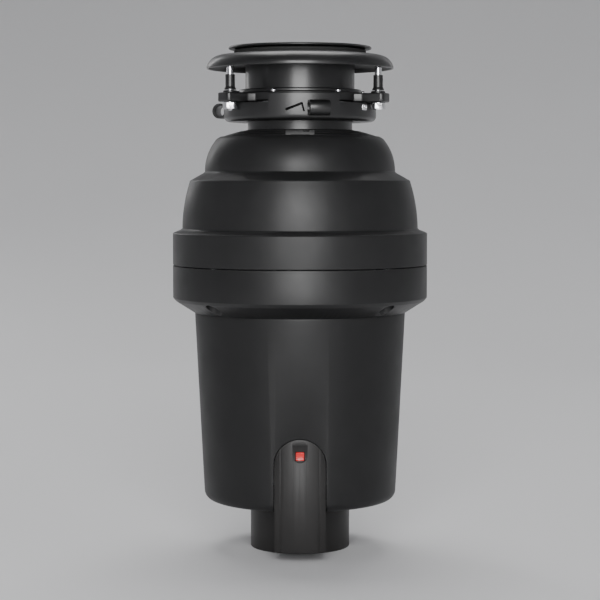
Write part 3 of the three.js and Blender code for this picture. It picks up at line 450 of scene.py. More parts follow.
class Finish:
    """A node material that is built up a layer at a time."""

    def __init__(self, name, base_colour, roughness, metallic=0.0, **sockets):
        self.material = bpy.data.materials.new(name)
        self.material.use_nodes = True
        self.nodes = self.material.node_tree.nodes
        self.links = self.material.node_tree.links
        self.shader = self.nodes["Principled BSDF"]
        self.colour = (*base_colour, 1)
        self.shader.inputs["Base Color"].default_value = self.colour
        self.shader.inputs["Roughness"].default_value = roughness
        self.shader.inputs["Metallic"].default_value = metallic
        for socket, value in sockets.items():
            self.shader.inputs[socket.replace("_", " ")].default_value = value
        self.roughness = roughness
        self.bump = None

    def coordinates(self, stretch=(1, 1, 1)):
        place = self.nodes.new("ShaderNodeTexCoord")
        mapping = self.nodes.new("ShaderNodeMapping")
        mapping.inputs["Scale"].default_value = stretch
        self.links.new(place.outputs["Object"], mapping.inputs["Vector"])
        return mapping.outputs["Vector"]

    def noise(self, scale, detail=3.0, stretch=(1, 1, 1)):
        texture = self.nodes.new("ShaderNodeTexNoise")
        texture.inputs["Scale"].default_value = scale
        texture.inputs["Detail"].default_value = detail
        self.links.new(self.coordinates(stretch), texture.inputs["Vector"])
        return texture.outputs["Fac"]

    def cells(self, scale, feature="F1"):
        texture = self.nodes.new("ShaderNodeTexVoronoi")
        texture.feature = feature
        texture.inputs["Scale"].default_value = scale
        self.links.new(self.coordinates(), texture.inputs["Vector"])
        return texture.outputs["Distance"]

    def bands(self, scale, direction="Z", distortion=0.0):
        texture = self.nodes.new("ShaderNodeTexWave")
        texture.bands_direction = direction
        texture.inputs["Scale"].default_value = scale
        texture.inputs["Distortion"].default_value = distortion
        self.links.new(self.coordinates(), texture.inputs["Vector"])
        return texture.outputs["Fac"]

    def relief(self, height, depth, strength=1.0):
        """Raises the surface by a height pattern, on top of earlier layers."""
        bump = self.nodes.new("ShaderNodeBump")
        bump.inputs["Distance"].default_value = depth * MM
        bump.inputs["Strength"].default_value = strength
        self.links.new(height, bump.inputs["Height"])
        if self.bump:
            self.links.new(self.bump, bump.inputs["Normal"])
        self.bump = bump.outputs["Normal"]
        self.links.new(self.bump, self.shader.inputs["Normal"])
        return self

    def vary_roughness(self, pattern, spread):
        spread_node = self.nodes.new("ShaderNodeMapRange")
        spread_node.inputs["From Min"].default_value = 0.3
        spread_node.inputs["From Max"].default_value = 0.7
        spread_node.inputs["To Min"].default_value = max(self.roughness - spread, 0.02)
        spread_node.inputs["To Max"].default_value = self.roughness + spread
        self.links.new(pattern, spread_node.inputs["Value"])
        self.links.new(spread_node.outputs["Result"], self.shader.inputs["Roughness"])
        return self

    def vary_colour(self, pattern, other, start=0.35, end=0.65):
        ramp = self.nodes.new("ShaderNodeValToRGB")
        ramp.color_ramp.elements[0].position = start
        ramp.color_ramp.elements[1].position = end
        ramp.color_ramp.elements[0].color = self.colour
        ramp.color_ramp.elements[1].color = (*other, 1)
        self.links.new(pattern, ramp.inputs["Fac"])
        self.links.new(ramp.outputs["Color"], self.shader.inputs["Base Color"])
        return self


def lighter(rgb, share):
    return tuple(min(value * share, 1) for value in rgb)


def moulded_plastic(name, rgb, roughness, grain=2600, depth=0.012):
    """Black moulded plastic with a fine spark-eroded grain."""
    made = Finish(name, rgb, roughness, Specular_IOR_Level=0.36)
    made.relief(made.noise(grain, 2), depth)
    made.relief(made.noise(180, 2), 0.01, 0.4)
    made.vary_roughness(made.noise(34, 4), 0.045)
    return made.vary_colour(made.noise(60, 5), lighter(rgb, 1.22)).material


def coated_steel(name, rgb, roughness):
    """Steel under a glossy black coat, with a trace of orange peel."""
    made = Finish(name, rgb, roughness, 0.0, Coat_Weight=0.35, Coat_Roughness=0.22)
    made.relief(made.noise(420, 2), 0.018, 0.5)
    made.vary_roughness(made.noise(50, 4), 0.05)
    return made.vary_colour(made.noise(90, 4), lighter(rgb, 1.3)).material


def plated(name, rgb, roughness):
    """Bright plating with fine handling marks; on the rivets and the ring stops this bright colour is a
    painted highlight.
    """
    made = Finish(name, rgb, roughness, 1.0)
    made.relief(made.noise(900, 3, (1, 1, 0.15)), 0.004, 0.4)
    made.vary_roughness(made.noise(300, 4), 0.05)
    return made.vary_colour(made.noise(120, 3), lighter(rgb, 0.82)).material


def brushed(name, rgb, roughness, stretch=(1, 1, 18)):
    """Turned or brushed steel."""
    made = Finish(name, rgb, roughness, 1.0, Anisotropic=0.4)
    made.relief(made.noise(500, 3, stretch), 0.006, 0.5)
    made.vary_roughness(made.noise(160, 4, stretch), 0.09)
    return made.vary_colour(made.noise(110, 4, stretch), lighter(rgb, 0.78)).material


def cast_metal(name, rgb, roughness, grain=900, depth=0.05):
    made = Finish(name, rgb, roughness, 0.9)
    made.relief(made.noise(grain, 6), depth)
    made.vary_roughness(made.noise(220, 4), 0.1)
    return made.vary_colour(made.noise(45, 5), lighter(rgb, 0.72)).material


def rubber(name, rgb):
    made = Finish(name, rgb, 0.42, Sheen_Weight=0.12, Sheen_Roughness=0.5)
    made.relief(made.noise(1900, 3), 0.02)
    made.vary_roughness(made.noise(80, 4), 0.08)
    return made.vary_colour(made.noise(70, 4), lighter(rgb, 1.5)).material


def gloss_plastic(name, rgb):
    made = Finish(name, rgb, 0.28, Coat_Weight=0.3, Coat_Roughness=0.1)
    made.relief(made.noise(900, 2), 0.006)
    made.vary_roughness(made.noise(400, 3), 0.05)
    return made.vary_colour(made.noise(300, 2), lighter(rgb, 0.8)).material


def wound_copper(name, rgb):
    made = Finish(name, rgb, 0.35, 0.85, Coat_Weight=0.4)
    made.relief(made.bands(620, "Z", 1.5), 0.25)
    made.vary_roughness(made.noise(260, 3), 0.08)
    return made.vary_colour(made.bands(620, "Z", 1.5), lighter(rgb, 0.45), 0.2, 0.8).material


def foam(name, rgb):
    made = Finish(name, rgb, 0.95)
    made.relief(made.cells(520), 0.5)
    made.vary_roughness(made.noise(200, 2), 0.04)
    return made.vary_colour(made.cells(520), lighter(rgb, 0.5), 0.1, 0.6).material


def sintered(name, rgb):
    made = Finish(name, rgb, 0.75, 0.2)
    made.relief(made.cells(1500), 0.05)
    made.vary_roughness(made.noise(300, 4), 0.1)
    return made.vary_colour(made.noise(140, 5), lighter(rgb, 1.6)).material


def circuit_board(name, rgb):
    made = Finish(name, rgb, 0.4, Coat_Weight=0.3)
    made.relief(made.cells(260, "DISTANCE_TO_EDGE"), 0.05)
    made.vary_roughness(made.noise(150, 3), 0.06)
    return made.vary_colour(made.cells(140, "DISTANCE_TO_EDGE"), lighter(rgb, 1.7), 0.02, 0.05).material


def studio_floor(name, rgb):
    made = Finish(name, rgb, 0.7)
    made.relief(made.noise(30, 4), 0.05)
    return made.vary_colour(made.noise(0.8, 3), lighter(rgb, 0.97)).material


def recipes():
    """How each finish is made, by name."""
    tone = bpy.context.scene.disposer_finishes
    return {
        "satin_shell": lambda n: moulded_plastic(n, tone.shell, 0.42),
        "matt_canister": lambda n: moulded_plastic(n, tone.canister, 0.5, 1900, 0.018),
        "base_moulding": lambda n: moulded_plastic(n, tone.base, 0.46, 1700, 0.02),
        "black_coated_steel": lambda n: coated_steel(n, tone.coated_steel, 0.4),
        # plating on the screws; on the rivets and ring stops this bright colour is a painted highlight
        "bright_plating": lambda n: plated(n, (0.84, 0.84, 0.86), 0.13),
        "brushed_steel": lambda n: brushed(n, (0.52, 0.53, 0.54), 0.32),
        "cast_aluminium": lambda n: cast_metal(n, (0.55, 0.56, 0.57), 0.48),
        "stamped_brass": lambda n: brushed(n, (0.68, 0.5, 0.22), 0.3),
        "black_rubber": lambda n: rubber(n, tone.rubber),
        "red_plastic": lambda n: gloss_plastic(n, tone.button),
        "wound_copper": lambda n: wound_copper(n, (0.72, 0.3, 0.12)),
        "grey_foam": lambda n: foam(n, (0.05, 0.05, 0.052)),
        "sintered_ferrite": lambda n: sintered(n, (0.035, 0.035, 0.037)),
        "green_board": lambda n: circuit_board(n, (0.02, 0.12, 0.04)),
        "pale_floor": lambda n: studio_floor(n, tone.floor),
    }


def material(name):
    """The finish of that name, made the first time it is asked for."""
    return bpy.data.materials.get(name) or recipes()[name](name)


# ------------------------------------------------------------------ housing


def screw_bearings():
    """Bearings of the four housing screws, counted from -Y towards +X."""
    return (45, 135, 225, 315)


def counterbore_circle(size):
    return size.band_radius - 8


def upper_shell(size):
    bottom, top = low("upper_shell").z, high("upper_shell").z
    band, shoulder, dome = size.band_radius, size.shoulder_radius, size.dome_radius
    shelf = bottom + 25.6
    step = shelf + 41
    crest = top - CROWN_DROP
    neck = 42.5
    shoulder_arc = bowed((shoulder, shelf + 3.6), (shoulder - 6, step - 0.6), 1.35, 14)
    dome_arc = bowed((dome, step + 7.6), (dome - 9.4, step + 33.6), 2.5, 16)
    crown = [(dome - 12.4, step + 35.4, 2.6)]
    for inward, drop in ((15.6, 4.6), (21.6, 2.7), (27.2, 1.1)):
        radius, level = dome - inward, crest - drop
        crown += [(radius + 1.1, level - 0.35, 0.2), (radius + 0.9, level - 1.0, 0.15)]
        crown += [(radius, level - 0.9, 0.15), (radius - 0.2, level + 0.1, 0.2)]
    foot = rounded([(band - 0.7, bottom), (band, bottom + 0.7, 0.4), (band, shelf, 1.3),
                    (shoulder + 1.4, shelf + 2.4, 1.2), tuple(shoulder_arc[0])], 5, False)
    corner = rounded([tuple(shoulder_arc[-1]), (shoulder - 6.3, step + 0.5, 1.6),
                      (dome + 1.2, step + 6.5, 1.2), tuple(dome_arc[0])], 5, False)
    cap = rounded([tuple(dome_arc[-1]), *crown, (neck, crest)], 3, False)
    wall = size.wall
    inner = rounded([(neck, crest - wall), (dome - 15, step + 33.6 - wall, 4),
                     (dome - 9.6 - wall, step + 29, 6), (dome - wall, step + 8 - wall, 2),
                     (shoulder - 6.2 - wall, step - wall, 2), (shoulder - wall, shelf + 3, 2),
                     (band - wall, shelf - wall, 1), (band - wall, bottom)], 5, False)
    skin = foot + shoulder_arc[1:] + corner[1:] + dome_arc[1:] + cap[1:]
    piece = turn("upper_shell_skin", skin + inner)
    hole = outlet_hole(band - 20, band + 9)
    inlet = bar("inlet_hole", 11, (0, 60, inlet_centre()), (0, band + 9, inlet_centre()))
    return carve(piece, hole, inlet)


def outlet_centre():
    """Height of the discharge pipe's axis."""
    return low("lower_chamber").z + 18.5


def outlet_hole(start, end):
    """A tool for the hole that the discharge pipe comes out of, from Y to Y."""
    return bar("outlet_hole", OUTLET_HOLE, (0, start, outlet_centre()), (0, end, outlet_centre()))


def inlet_centre():
    """Height of the dishwasher spigot's axis."""
    return middle("inlet_knockout").z


def lower_band(size):
    bottom, top = low("lower_band").z, high("lower_band").z
    band = size.band_radius
    opening = size.canister_radius + 0.6
    rise = bottom + 12.8
    skin = [(opening - 3, bottom), (band - 2.2, rise - 1.6, 0.8), (band, rise + 1, 0.8), (band, top)]
    piece = turn("lower_band_skin", sheet(skin, size.wall))
    solid = turn("band_solid", rounded([(opening - 3, bottom + 0.6), (band - 3, rise - 1.6),
                                        (band - 0.8, rise + 1), (band - 0.8, top - 0.4),
                                        (70, top - 0.4), (70, bottom + 0.6)]))
    circle = counterbore_circle(size)
    floor = rise + 5.5
    posts, mouths = [], []
    for bearing in screw_bearings():
        posts.append(swing(bar("post", size.counterbore + 2, (0, -circle, bottom - 2),
                               (0, -circle, top + 2)), bearing))
        mouths.append(swing(bar("mouth", size.counterbore, (0, -circle, bottom - 4),
                                (0, -circle, floor)), bearing))
    first = posts.pop()
    for post in posts:
        weld(first, post)
    keep_inside(first, solid)
    weld(piece, first)
    middle_bar = bar("opening", opening, (0, 0, bottom - 2), (0, 0, bottom + 8), TURN_STEPS)
    hole = outlet_hole(band - 20, band + 9)
    carve(piece, *mouths, middle_bar, hole)
    return soften(piece, 0.35, 2, 40)


def shell_screws(size):
    """Pan-head screws at the bottom of the recesses."""
    top = low("shell_screw_1").z + 3.4
    outline = rounded([(0, top - 3.4), (2.6, top - 3.4, 0.6), (5.0, top - 2.2, 0.9), (5.0, top),
                       (2.3, top), (2.3, high("shell_screw_1").z, 0.5),
                       (0, high("shell_screw_1").z)])
    for i, bearing in enumerate(screw_bearings()):
        piece = turn("screw", outline, 32)
        arms = [block("slot", (-2.6, -0.5, top - 4), (2.6, 0.5, top - 2.0)),
                block("slot", (-0.5, -2.6, top - 4), (0.5, 2.6, top - 2.0))]
        carve(piece, *arms)
        swing(piece, bearing, (0, -counterbore_circle(size), 0))
        finish(piece, f"housing_screw_{i + 1}", "brushed_steel",
               nodes=[f"shell_screw_{i + 1}"])


def dome_pad(size):
    """The small raised pad at the front of the dome's crown, with a notch in its edge."""
    crest = high("upper_shell").z - CROWN_DROP
    half, front, top = 11.5, -59.6, crest - 0.8
    piece = block("pad", (-half, front, top - 5.2), (half, -48, top))
    slope = block("slope", (-half - 3, -9, -9), (half + 3, 0, 9))
    lean = Matrix.Rotation(math.radians(-17), 4, "X")
    slope.matrix_world = Matrix.Translation(Vector((0, front + 0.1, top - 3.6)) * MM) @ lean
    apply_place(slope)
    carve(piece, slope)
    soften(piece, 0.6, 3)
    return carve(piece, block("notch", (2.3, front - 3, top - 1.8), (7.2, -45, top + 3)))


class OBJECT_OT_disposer_housing(bpy.types.Operator):
    """Models the upper shell, the lower band, its screws and the pad on the dome"""

    bl_idname = "object.disposer_housing"
    bl_label = "Housing"

    def execute(self, context):
        size = Millimetres(context.scene.disposer_housing)
        finish(upper_shell(size), "shell_dome", "satin_shell", nodes=["upper_shell"])
        finish(lower_band(size), "shell_band", "satin_shell", nodes=["lower_band"])
        finish(dome_pad(size), "shell_dome_pad", "satin_shell")
        shell_screws(size)
        return {"FINISHED"}


# ------------------------------------------------------------------ canister


def arch(width, top, bottom, steps=24):
    """An upright arch outline in X and Z."""
    half = width / 2
    points = [Vector((-half, bottom)), Vector((half, bottom))]
    for k in range(steps + 1):
        angle = math.pi * k / steps
        points.append(Vector((half * math.cos(angle), top - half + half * math.sin(angle))))
    return points


def canister_skin(size):
    foot = low("canister_shell").z
    top = high("canister_shell").z
    rim = top - 2.2
    radius = size.canister_radius
    narrow = radius - size.canister_taper
    return [(34, foot), (narrow - 1.3, foot, size.canister_fillet), (narrow, foot + 23.4, 60),
            (radius, rim), (radius, top)]


class OBJECT_OT_disposer_canister(bpy.types.Operator):
    """Models the tapered canister with its arched cut-out"""

    bl_idname = "object.disposer_canister"
    bl_label = "Canister"

    def execute(self, context):
        size = Millimetres(context.scene.disposer_housing)
        spine = Millimetres(context.scene.disposer_base)
        piece = turn("canister_skin", sheet(canister_skin(size), size.wall, 10))
        outline = arch(spine.spine_width + 1.0, high("base_housing").z + 0.5, 30)
        front = -size.canister_radius - 9
        depth = size.canister_radius + 9 + low("base_housing").y + 12.6
        carve(piece, plate("arch_cut", outline, front, depth, "XZ"))
        carve(piece, outlet_hole(66, 112))
        soften(piece, 0.35, 2, 50)
        finish(piece, "canister", "matt_canister", nodes=["canister_shell"])
        return {"FINISHED"}


# ------------------------------------------------------------------ base and spine


def spine_body(size):
    """The arched spine with its raised face and sunken side strips."""
    front = low("base_housing").y
    top = high("base_housing").z
    half = size.face_width / 2
    piece = plate("spine", arch(size.spine_width, top, 8.4), front - 6, 18, "XZ")
    keep_inside(piece, bar("round", -front, (0, 0, 0), (0, 0, 110), 240))
    for side in (-1, 1):
        lowest, highest = sorted((side * half, side * 30))
        beside = block("beside", (lowest, front - 9, -3), (highest, front + 30, 113))
        carve(beside, bar("round", -front - size.strip_step, (0, 0, -9), (0, 0, 120), 240))
        carve(piece, beside)
        lowest, highest = sorted((side * (half - 0.1), side * (half + 1.0)))
        carve(piece, block("groove", (lowest, front - 9, -3), (highest, front + 4.2, top - 5.4)))
    return piece


def boss(size):
    top = 38.2
    radius = size.boss_radius
    inner = radius - 2.6
    outline = rounded([(0, 0), (radius - 7, 0), (radius - 6.4, 0.5, 0.2), (radius - 5.2, 0.5, 0.2),
                       (radius - 4.6, 0), (radius, 0, 0.8), (radius, top, 0.4), (inner, top, 0.4),
                       (inner, 3, 0.8), (0, 3)])
    return turn("boss", outline)


def arm(size):
    """The hollow arm that joins the boss to the spine under the canister."""
    front = low("base_housing").y + 5
    half = size.spine_width / 2 - 0.05
    return block("arm", (-half, front, 8.5), (half, -size.boss_radius + 8, 38.1))


class OBJECT_OT_disposer_base(bpy.types.Operator):
    """Models the base with its boss, its arm and the spine on the front"""

    bl_idname = "object.disposer_base"
    bl_label = "Base and spine"

    def execute(self, context):
        size = Millimetres(context.scene.disposer_base)
        front = low("base_housing").y
        floor = front + size.hole_depth
        button = middle("reset_button")
        piece = weld(boss(size), arm(size), spine_body(size))
        top = high("base_housing").z
        inner = size.spine_width / 2 - 4
        hollow = block("hollow", (-inner, front + 6.4, 12.4), (inner, front + 14, top - 4))
        inside = bar("inside", size.boss_radius - 2.7, (0, 0, 6), (0, 0, 44), TURN_STEPS)
        duct = block("duct", (-inner, front + 6.5, 12.5), (inner, -20, 34))
        hole_height = button.z + 1
        recess = bar("recess", size.hole_radius, (0, front - 5, hole_height), (0, floor, hole_height))
        pocket = block("pocket", (-size.hole_radius - 0.1, front - 5, hole_height),
                       (size.hole_radius + 0.1, floor - 1, hole_height + 7.5))
        half = 3.6
        shaft = block("shaft", (-half, front, button.z - half), (half, front + 9, button.z + half))
        gland = bar("gland_hole", 9.4, (0, size.boss_radius - 8, middle("cord_grommet").z),
                    (0, size.boss_radius + 8, middle("cord_grommet").z))
        carve(piece, hollow, inside, duct, recess, pocket, shaft, gland)
        soften(piece, 0.3, 2, 40)
        finish(piece, "base_and_spine", "base_moulding", nodes=["base_housing"])
        return {"FINISHED"}


class OBJECT_OT_disposer_reset_button(bpy.types.Operator):
    """Models the square reset button"""

    bl_idname = "object.disposer_reset_button"
    bl_label = "Reset button"

    def execute(self, context):
        lowest, highest = low("reset_button"), high("reset_button")
        piece = block("button", lowest, highest)
        bpy.ops.object.mode_set(mode="EDIT")
        pick(piece, "faces", lambda face: face.normal.y < -0.9)
        bpy.ops.mesh.inset(thickness=0.9 * MM)
        bpy.ops.transform.translate(value=(0, 0.35 * MM, 0))
        bpy.ops.object.mode_set(mode="OBJECT")
        soften(piece, 0.45, 3, 30)
        finish(piece, "reset_cap", "red_plastic", "reset_button", ["reset_button"])
        return {"FINISHED"}


# ------------------------------------------------------------------ sink flange, gasket and pan


def flange_outline(size):
    bottom, top = low("sink_flange").z, high("sink_flange").z
    tube, wall = size.throat_radius, size.throat_wall
    lip = -low("sink_flange").y
    flare = top - 7
    skin = rounded([
        (tube + 1.5, bottom + 0.3, 0.3), (tube + 1.5, bottom + 1.3, 0.5), (tube, bottom + 1.7, 0.3),
        (tube, flare, 2), (tube + 1.6, flare + 2.2, 2), (tube + 5.1, flare + 3.9, 3),
        (lip - 4.4, top - 2.2, 2), (lip - 0.6, top - 2.2, 0.8), (lip, top - 1.2, 0.7),
        (lip - 1, top, 0.8), (lip - 4.8, top - 0.6, 2), (tube + 4.5, top - 1.7, 3),
        (tube + 0.3, top - 3.7, 3), (tube - wall, flare + 0.4, 2), (tube - wall, bottom + 0.3, 0.3),
    ], 6)
    return skin


def pan_outline(size):
    bottom, top = low("support_pan").z, high("support_pan").z
    rim = -low("support_pan").y
    arc = [tuple(point) for point in bowed((rim, bottom + 2), (rim - 14.2, top), 3.2, 18)]
    return sheet([(rim, bottom), *arc, (size.throat_radius + 0.8, top)], size.pan_wall)


def gasket_outline(size):
    bottom, top = low("flange_gasket").z, high("flange_gasket").z
    outer = -low("flange_gasket").y
    tube = size.throat_radius
    return rounded([(tube + 0.8, bottom), (outer - 0.2, bottom, 0.5), (outer, bottom + 1.3, 0.4),
                    (outer - 0.5, bottom + 1.8, 0.3), (outer, bottom + 2.3, 0.4),
                    (outer, top, 0.6), (outer - 1.2, top, 0.3), (tube + 5.2, top - 0.8, 1),
                    (tube + 2.2, top - 2.4, 1)], 4)


class OBJECT_OT_disposer_sink_flange(bpy.types.Operator):
    """Models the sink flange, the gasket under its lip and the support pan"""

    bl_idname = "object.disposer_sink_flange"
    bl_label = "Sink flange and pan"

    def execute(self, context):
        size = Millimetres(context.scene.disposer_mount)
        flange = turn("flange", flange_outline(size))
        finish(flange, "flange", "black_coated_steel", nodes=["sink_flange"])
        gasket = turn("gasket", gasket_outline(size))
        finish(gasket, "lip_gasket", "black_rubber", nodes=["flange_gasket"])
        pan = soften(turn("pan", pan_outline(size)), 0.4, 3, 50)
        finish(pan, "pan", "black_coated_steel", nodes=["support_pan"])
        return {"FINISHED"}


# ------------------------------------------------------------------ upper ring and screws


def ear_bearings():
    """Bearings of the ears, read from the screws' places."""
    found = []
    for i in EARS:
        centre = middle(f"mounting_screw_{i}")
        found.append(math.degrees(math.atan2(centre.x, -centre.y)))
    return found


def screw_circle():
    centre = middle("mounting_screw_1")
    return math.hypot(centre.x, centre.y)


def ear_outline(size):
    half = size.ear_width / 2
    end = screw_circle() + 7.4
    root = size.throat_radius + 5
    flank = size.throat_radius + 9.6
    return rounded([(-half - 6, -root), (-half - 2.6, -flank + 2.2, 2), (-half, -flank - 3.2, 5),
                    (-half, -end, 3.2), (half, -end, 3.2), (half, -flank - 3.2, 5),
                    (half + 2.6, -flank + 2.2, 2), (half + 6, -root)], 5)


def tab_bearings():
    """Bearings of the locking tabs: their middle is a little to the right of the front."""
    return (3.2, 123.2, 243.2)


def wedge(inner, outer, start, end, low_bearing, high_bearing):
    """A part of a ring between two bearings, as a tool to cut or join with."""
    steps = max(int(abs(high_bearing - low_bearing) / 2.5), 2)
    bearings = [low_bearing + (high_bearing - low_bearing) * k / steps for k in range(steps + 1)]
    turned = [math.radians(b) for b in bearings]
    points = [Vector((outer * math.sin(b), -outer * math.cos(b))) for b in turned]
    points += [Vector((inner * math.sin(b), -inner * math.cos(b))) for b in turned[::-1]]
    return plate("wedge", points, start, end - start)


def upper_ring(size):
    tube = size.throat_radius
    top, bottom = high("upper_mounting_ring").z - 3.9, low("upper_mounting_ring").z
    ring_bottom = bottom + 0.9
    tip = top - 7.2
    outline = rounded([(tube + 0.8, ring_bottom, 0.4), (tube + 8.4, ring_bottom, 0.8),
                       (tube + 8.4, top + 0.9, 1.2), (tube + 5.6, top + 0.9, 0.6),
                       (tube + 5.4, top + 3.6, 1.2), (tube + 0.8, top + 3.6, 0.4)], 5)
    ring = turn("ring", outline)
    ears = []
    for bearing in ear_bearings():
        plate_piece = plate("ear", ear_outline(size), tip, 7.2)
        soften(plate_piece, 1.1, 3, 60)
        hollow = plate("ear_hollow", [point * 0.84 + Vector((0, -9.6)) for point in
                                      ear_outline(size)][7:-7], tip - 1, 3.6)
        carve(plate_piece, hollow)
        collar = bar("collar", 5.6, (0, -screw_circle(), tip + 1), (0, -screw_circle(), top + 1.5))
        weld(plate_piece, soften(collar, 0.7, 3, 60))
        ears.append(swing(plate_piece, bearing))
    weld(ring, *ears)
    for bearing in tab_bearings():
        weld(ring, wedge(tube + 6.6, tube + 14, ring_bottom, top - 3.6, bearing - 9, bearing + 9))
    holes = [swing(bar("hole", size.screw_radius + 0.4, (0, -screw_circle(), tip - 9),
                       (0, -screw_circle(), top + 9), 32), bearing) for bearing in ear_bearings()]
    carve(ring, *holes)
    return soften(ring, 0.25, 2, 50)


def ring_pips(size):
    """Small rivets on top of the upper ring, two between each pair of ears; their bright plating is a
    painted highlight on rivets that are dark.
    """
    top = high("upper_mounting_ring").z
    outline = rounded([(0, top - 5), (1.4, top - 5), (1.4, top - 3.1), (2.1, top - 3.1, 0.2),
                       (2.0, top - 1.3, 1.2), (0, top - 0.9)], 6)
    for i, bearing in enumerate(ear_bearings()):
        for side, spread in (("a", -30), ("b", 30)):
            piece = turn("pip", outline, 24)
            swing(piece, bearing + spread, (0, -size.throat_radius - 6.8, 0))
            # the bright plating on these rivets is a painted highlight
            finish(piece, f"ring_rivet_{i + 1}{side}", "bright_plating")


def mounting_screw(size):
    """A hexagon screw drawn on the axis, with a washer face, a chamfered head and a thread."""
    bottom, top = low("mounting_screw_1").z, high("mounting_screw_1").z
    head = bottom + 5.7
    radius = size.screw_radius
    thread = [(radius, head)]
    level = head + 9
    while level < top - 3:
        thread += [(radius - 0.08, level + 0.5), (radius, level + 1.0)]
        level += 1.0
    outline = [(0, bottom + 1), *thread, (radius, top - 2), (radius - 1.2, top), (0, top)]
    shank = turn("shank", [Vector(point) for point in outline], 32)
    hexagon = [Vector((math.cos(math.radians(60 * k)), math.sin(math.radians(60 * k)))) * 5.774
               for k in range(6)]
    nut = plate("hexagon", hexagon, bottom, 5.0)
    dome = turn("dome", rounded([(0, bottom + 0.02), (5.0, bottom + 0.02, 0.3), (5.9, bottom + 0.8),
                                 (5.9, bottom + 6.0), (0, bottom + 6.0)]), 48)
    keep_inside(nut, dome)
    soften(nut, 0.2, 2, 30)
    washer = turn("washer", rounded([(0, bottom + 4.8), (5.6, bottom + 4.8, 0.2),
                                     (5.6, head, 0.3), (0, head)]), 48)
    return weld(shank, nut, washer)


def screw_sleeve(size):
    bottom, top = low("threaded_sleeve_1").z, high("threaded_sleeve_1").z
    bore = size.screw_radius + 0.4
    return turn("sleeve", rounded([(bore, bottom), (4.7, bottom, 0.2), (4.6, bottom + 0.9, 0.4),
                                   (3.75, bottom + 2.4, 0.8), (3.75, top, 0.4), (bore, top, 0.2)]), 48)


class OBJECT_OT_disposer_upper_ring(bpy.types.Operator):
    """Models the upper mounting ring, its rivets, the three screws and their sleeves"""

    bl_idname = "object.disposer_upper_ring"
    bl_label = "Upper ring and screws"

    def execute(self, context):
        size = Millimetres(context.scene.disposer_mount)
        ring = upper_ring(size)
        finish(ring, "upper_ring", "black_coated_steel", nodes=["upper_mounting_ring"])
        ring_pips(size)
        screw, sleeve = mounting_screw(size), screw_sleeve(size)
        for i, bearing in zip(EARS, ear_bearings()):
            turned = swing(copy_of(screw, "screw"), bearing, (0, -screw_circle(), 0))
            finish(turned, f"hex_screw_{i}", "bright_plating",
                   nodes=[f"mounting_screw_{i}"])
            tube = swing(copy_of(sleeve, "sleeve"), bearing, (0, -screw_circle(), 0))
            finish(tube, f"screw_sleeve_{i}", "black_coated_steel",
                   nodes=[f"threaded_sleeve_{i}"])
        for original in (screw, sleeve):
            bpy.data.objects.remove(original)
        return {"FINISHED"}


# ------------------------------------------------------------------ locking ring


def slanted_slit(start, end, width, radius):
    """A thin tool through the ring's wall between two points on its front."""
    start, end = Vector(start), Vector(end)
    along = end - start
    piece = block("slit", (-along.length / 2, -radius - 4, -width / 2),
                  (along.length / 2, -radius + 4, width / 2))
    angle = -math.atan2(along.y, along.x)
    centre = (start + end) / 2
    piece.matrix_world = (Matrix.Translation(Vector((centre.x, 0, centre.y)) * MM)
                          @ Matrix.Rotation(angle, 4, "Y"))
    apply_place(piece)
    return piece


def lock_ring_radius(size):
    return size.throat_radius + 17.2


def locking_ring(size):
    bottom, tab_top = low("lock_ring").z, high("lock_ring").z
    outer = lock_ring_radius(size)
    inner = outer - 2
    ring_top = tab_top - 7
    foot = size.throat_radius - 0.4
    outline = rounded([(foot, bottom, 0.4), (outer, bottom, 4.4), (outer, tab_top, 0.7),
                       (inner - 6, tab_top, 0.4), (inner - 6, tab_top - 2, 0.4),
                       (inner, tab_top - 2, 0.6), (inner, bottom + 2.2, 2.2),
                       (foot, bottom + 2.2, 0.4)], 7)
    piece = turn("ring", outline, 180)
    tools = []
    for bearing in tab_bearings():
        tools.append(wedge(inner - 9, outer + 9, ring_top, tab_top + 3, bearing + 27, bearing + 93))
        tools.append(wedge(inner - 9, inner + 0.15, ring_top, tab_top + 3,
                           bearing + 10, bearing + 110))
    carve(piece, *tools)
    soften(piece, 0.55, 3, 50)
    height = bottom + 9.2
    centre = outer + 4.6
    half = 8.0
    for turn_by in (12.9, 132.9, 252.9):
        roll = bar("roll", size.socket_radius, (-half, -centre, height), (half, -centre, height))
        web = block("web", (0.5 - half, -outer - 3, height - 4.4), (half - 0.5, 1 - outer, height + 3.4))
        weld(roll, web)
        carve(roll, bar("bore", WRENCH_BORE, (-half - 3, -centre, height),
                        (half + 3, -centre, height)))
        seam = block("seam", (-half - 3, -centre - 0.5, height + 3),
                     (half + 3, -centre + 0.2, height + 9))
        carve(roll, seam)
        soften(roll, 0.35, 2, 50)
        weld(piece, swing(roll, turn_by))
    slit_foot = bottom + 7.9
    for turn_by in (0, 120, 240):
        ramp = slanted_slit((-11, slit_foot), (1.5, slit_foot + 4.8), size.slit_width, outer)
        detent = slanted_slit((1.3, slit_foot + 5.4), (3.2, slit_foot - 1.6), 1.4, outer)
        carve(piece, swing(ramp, turn_by), swing(detent, turn_by))
    return piece


def ring_stops(size):
    """Stops pressed on the locking ring under the ears; their bright plating is a painted highlight on
    stops that are black.
    """
    outer = lock_ring_radius(size)
    bottom = low("lock_ring").z
    for i, bearing in enumerate((56, 176, -64)):
        piece = block("stop", (-3.2, -outer - 0.35, bottom + 8.2),
                      (3.2, -outer + 1.2, bottom + 12.6))
        soften(piece, 0.5, 3, 40)
        swing(piece, bearing)
        # the bright plating on these stops is a painted highlight
        finish(piece, f"ring_stop_{i + 1}", "bright_plating", "lock_ring")


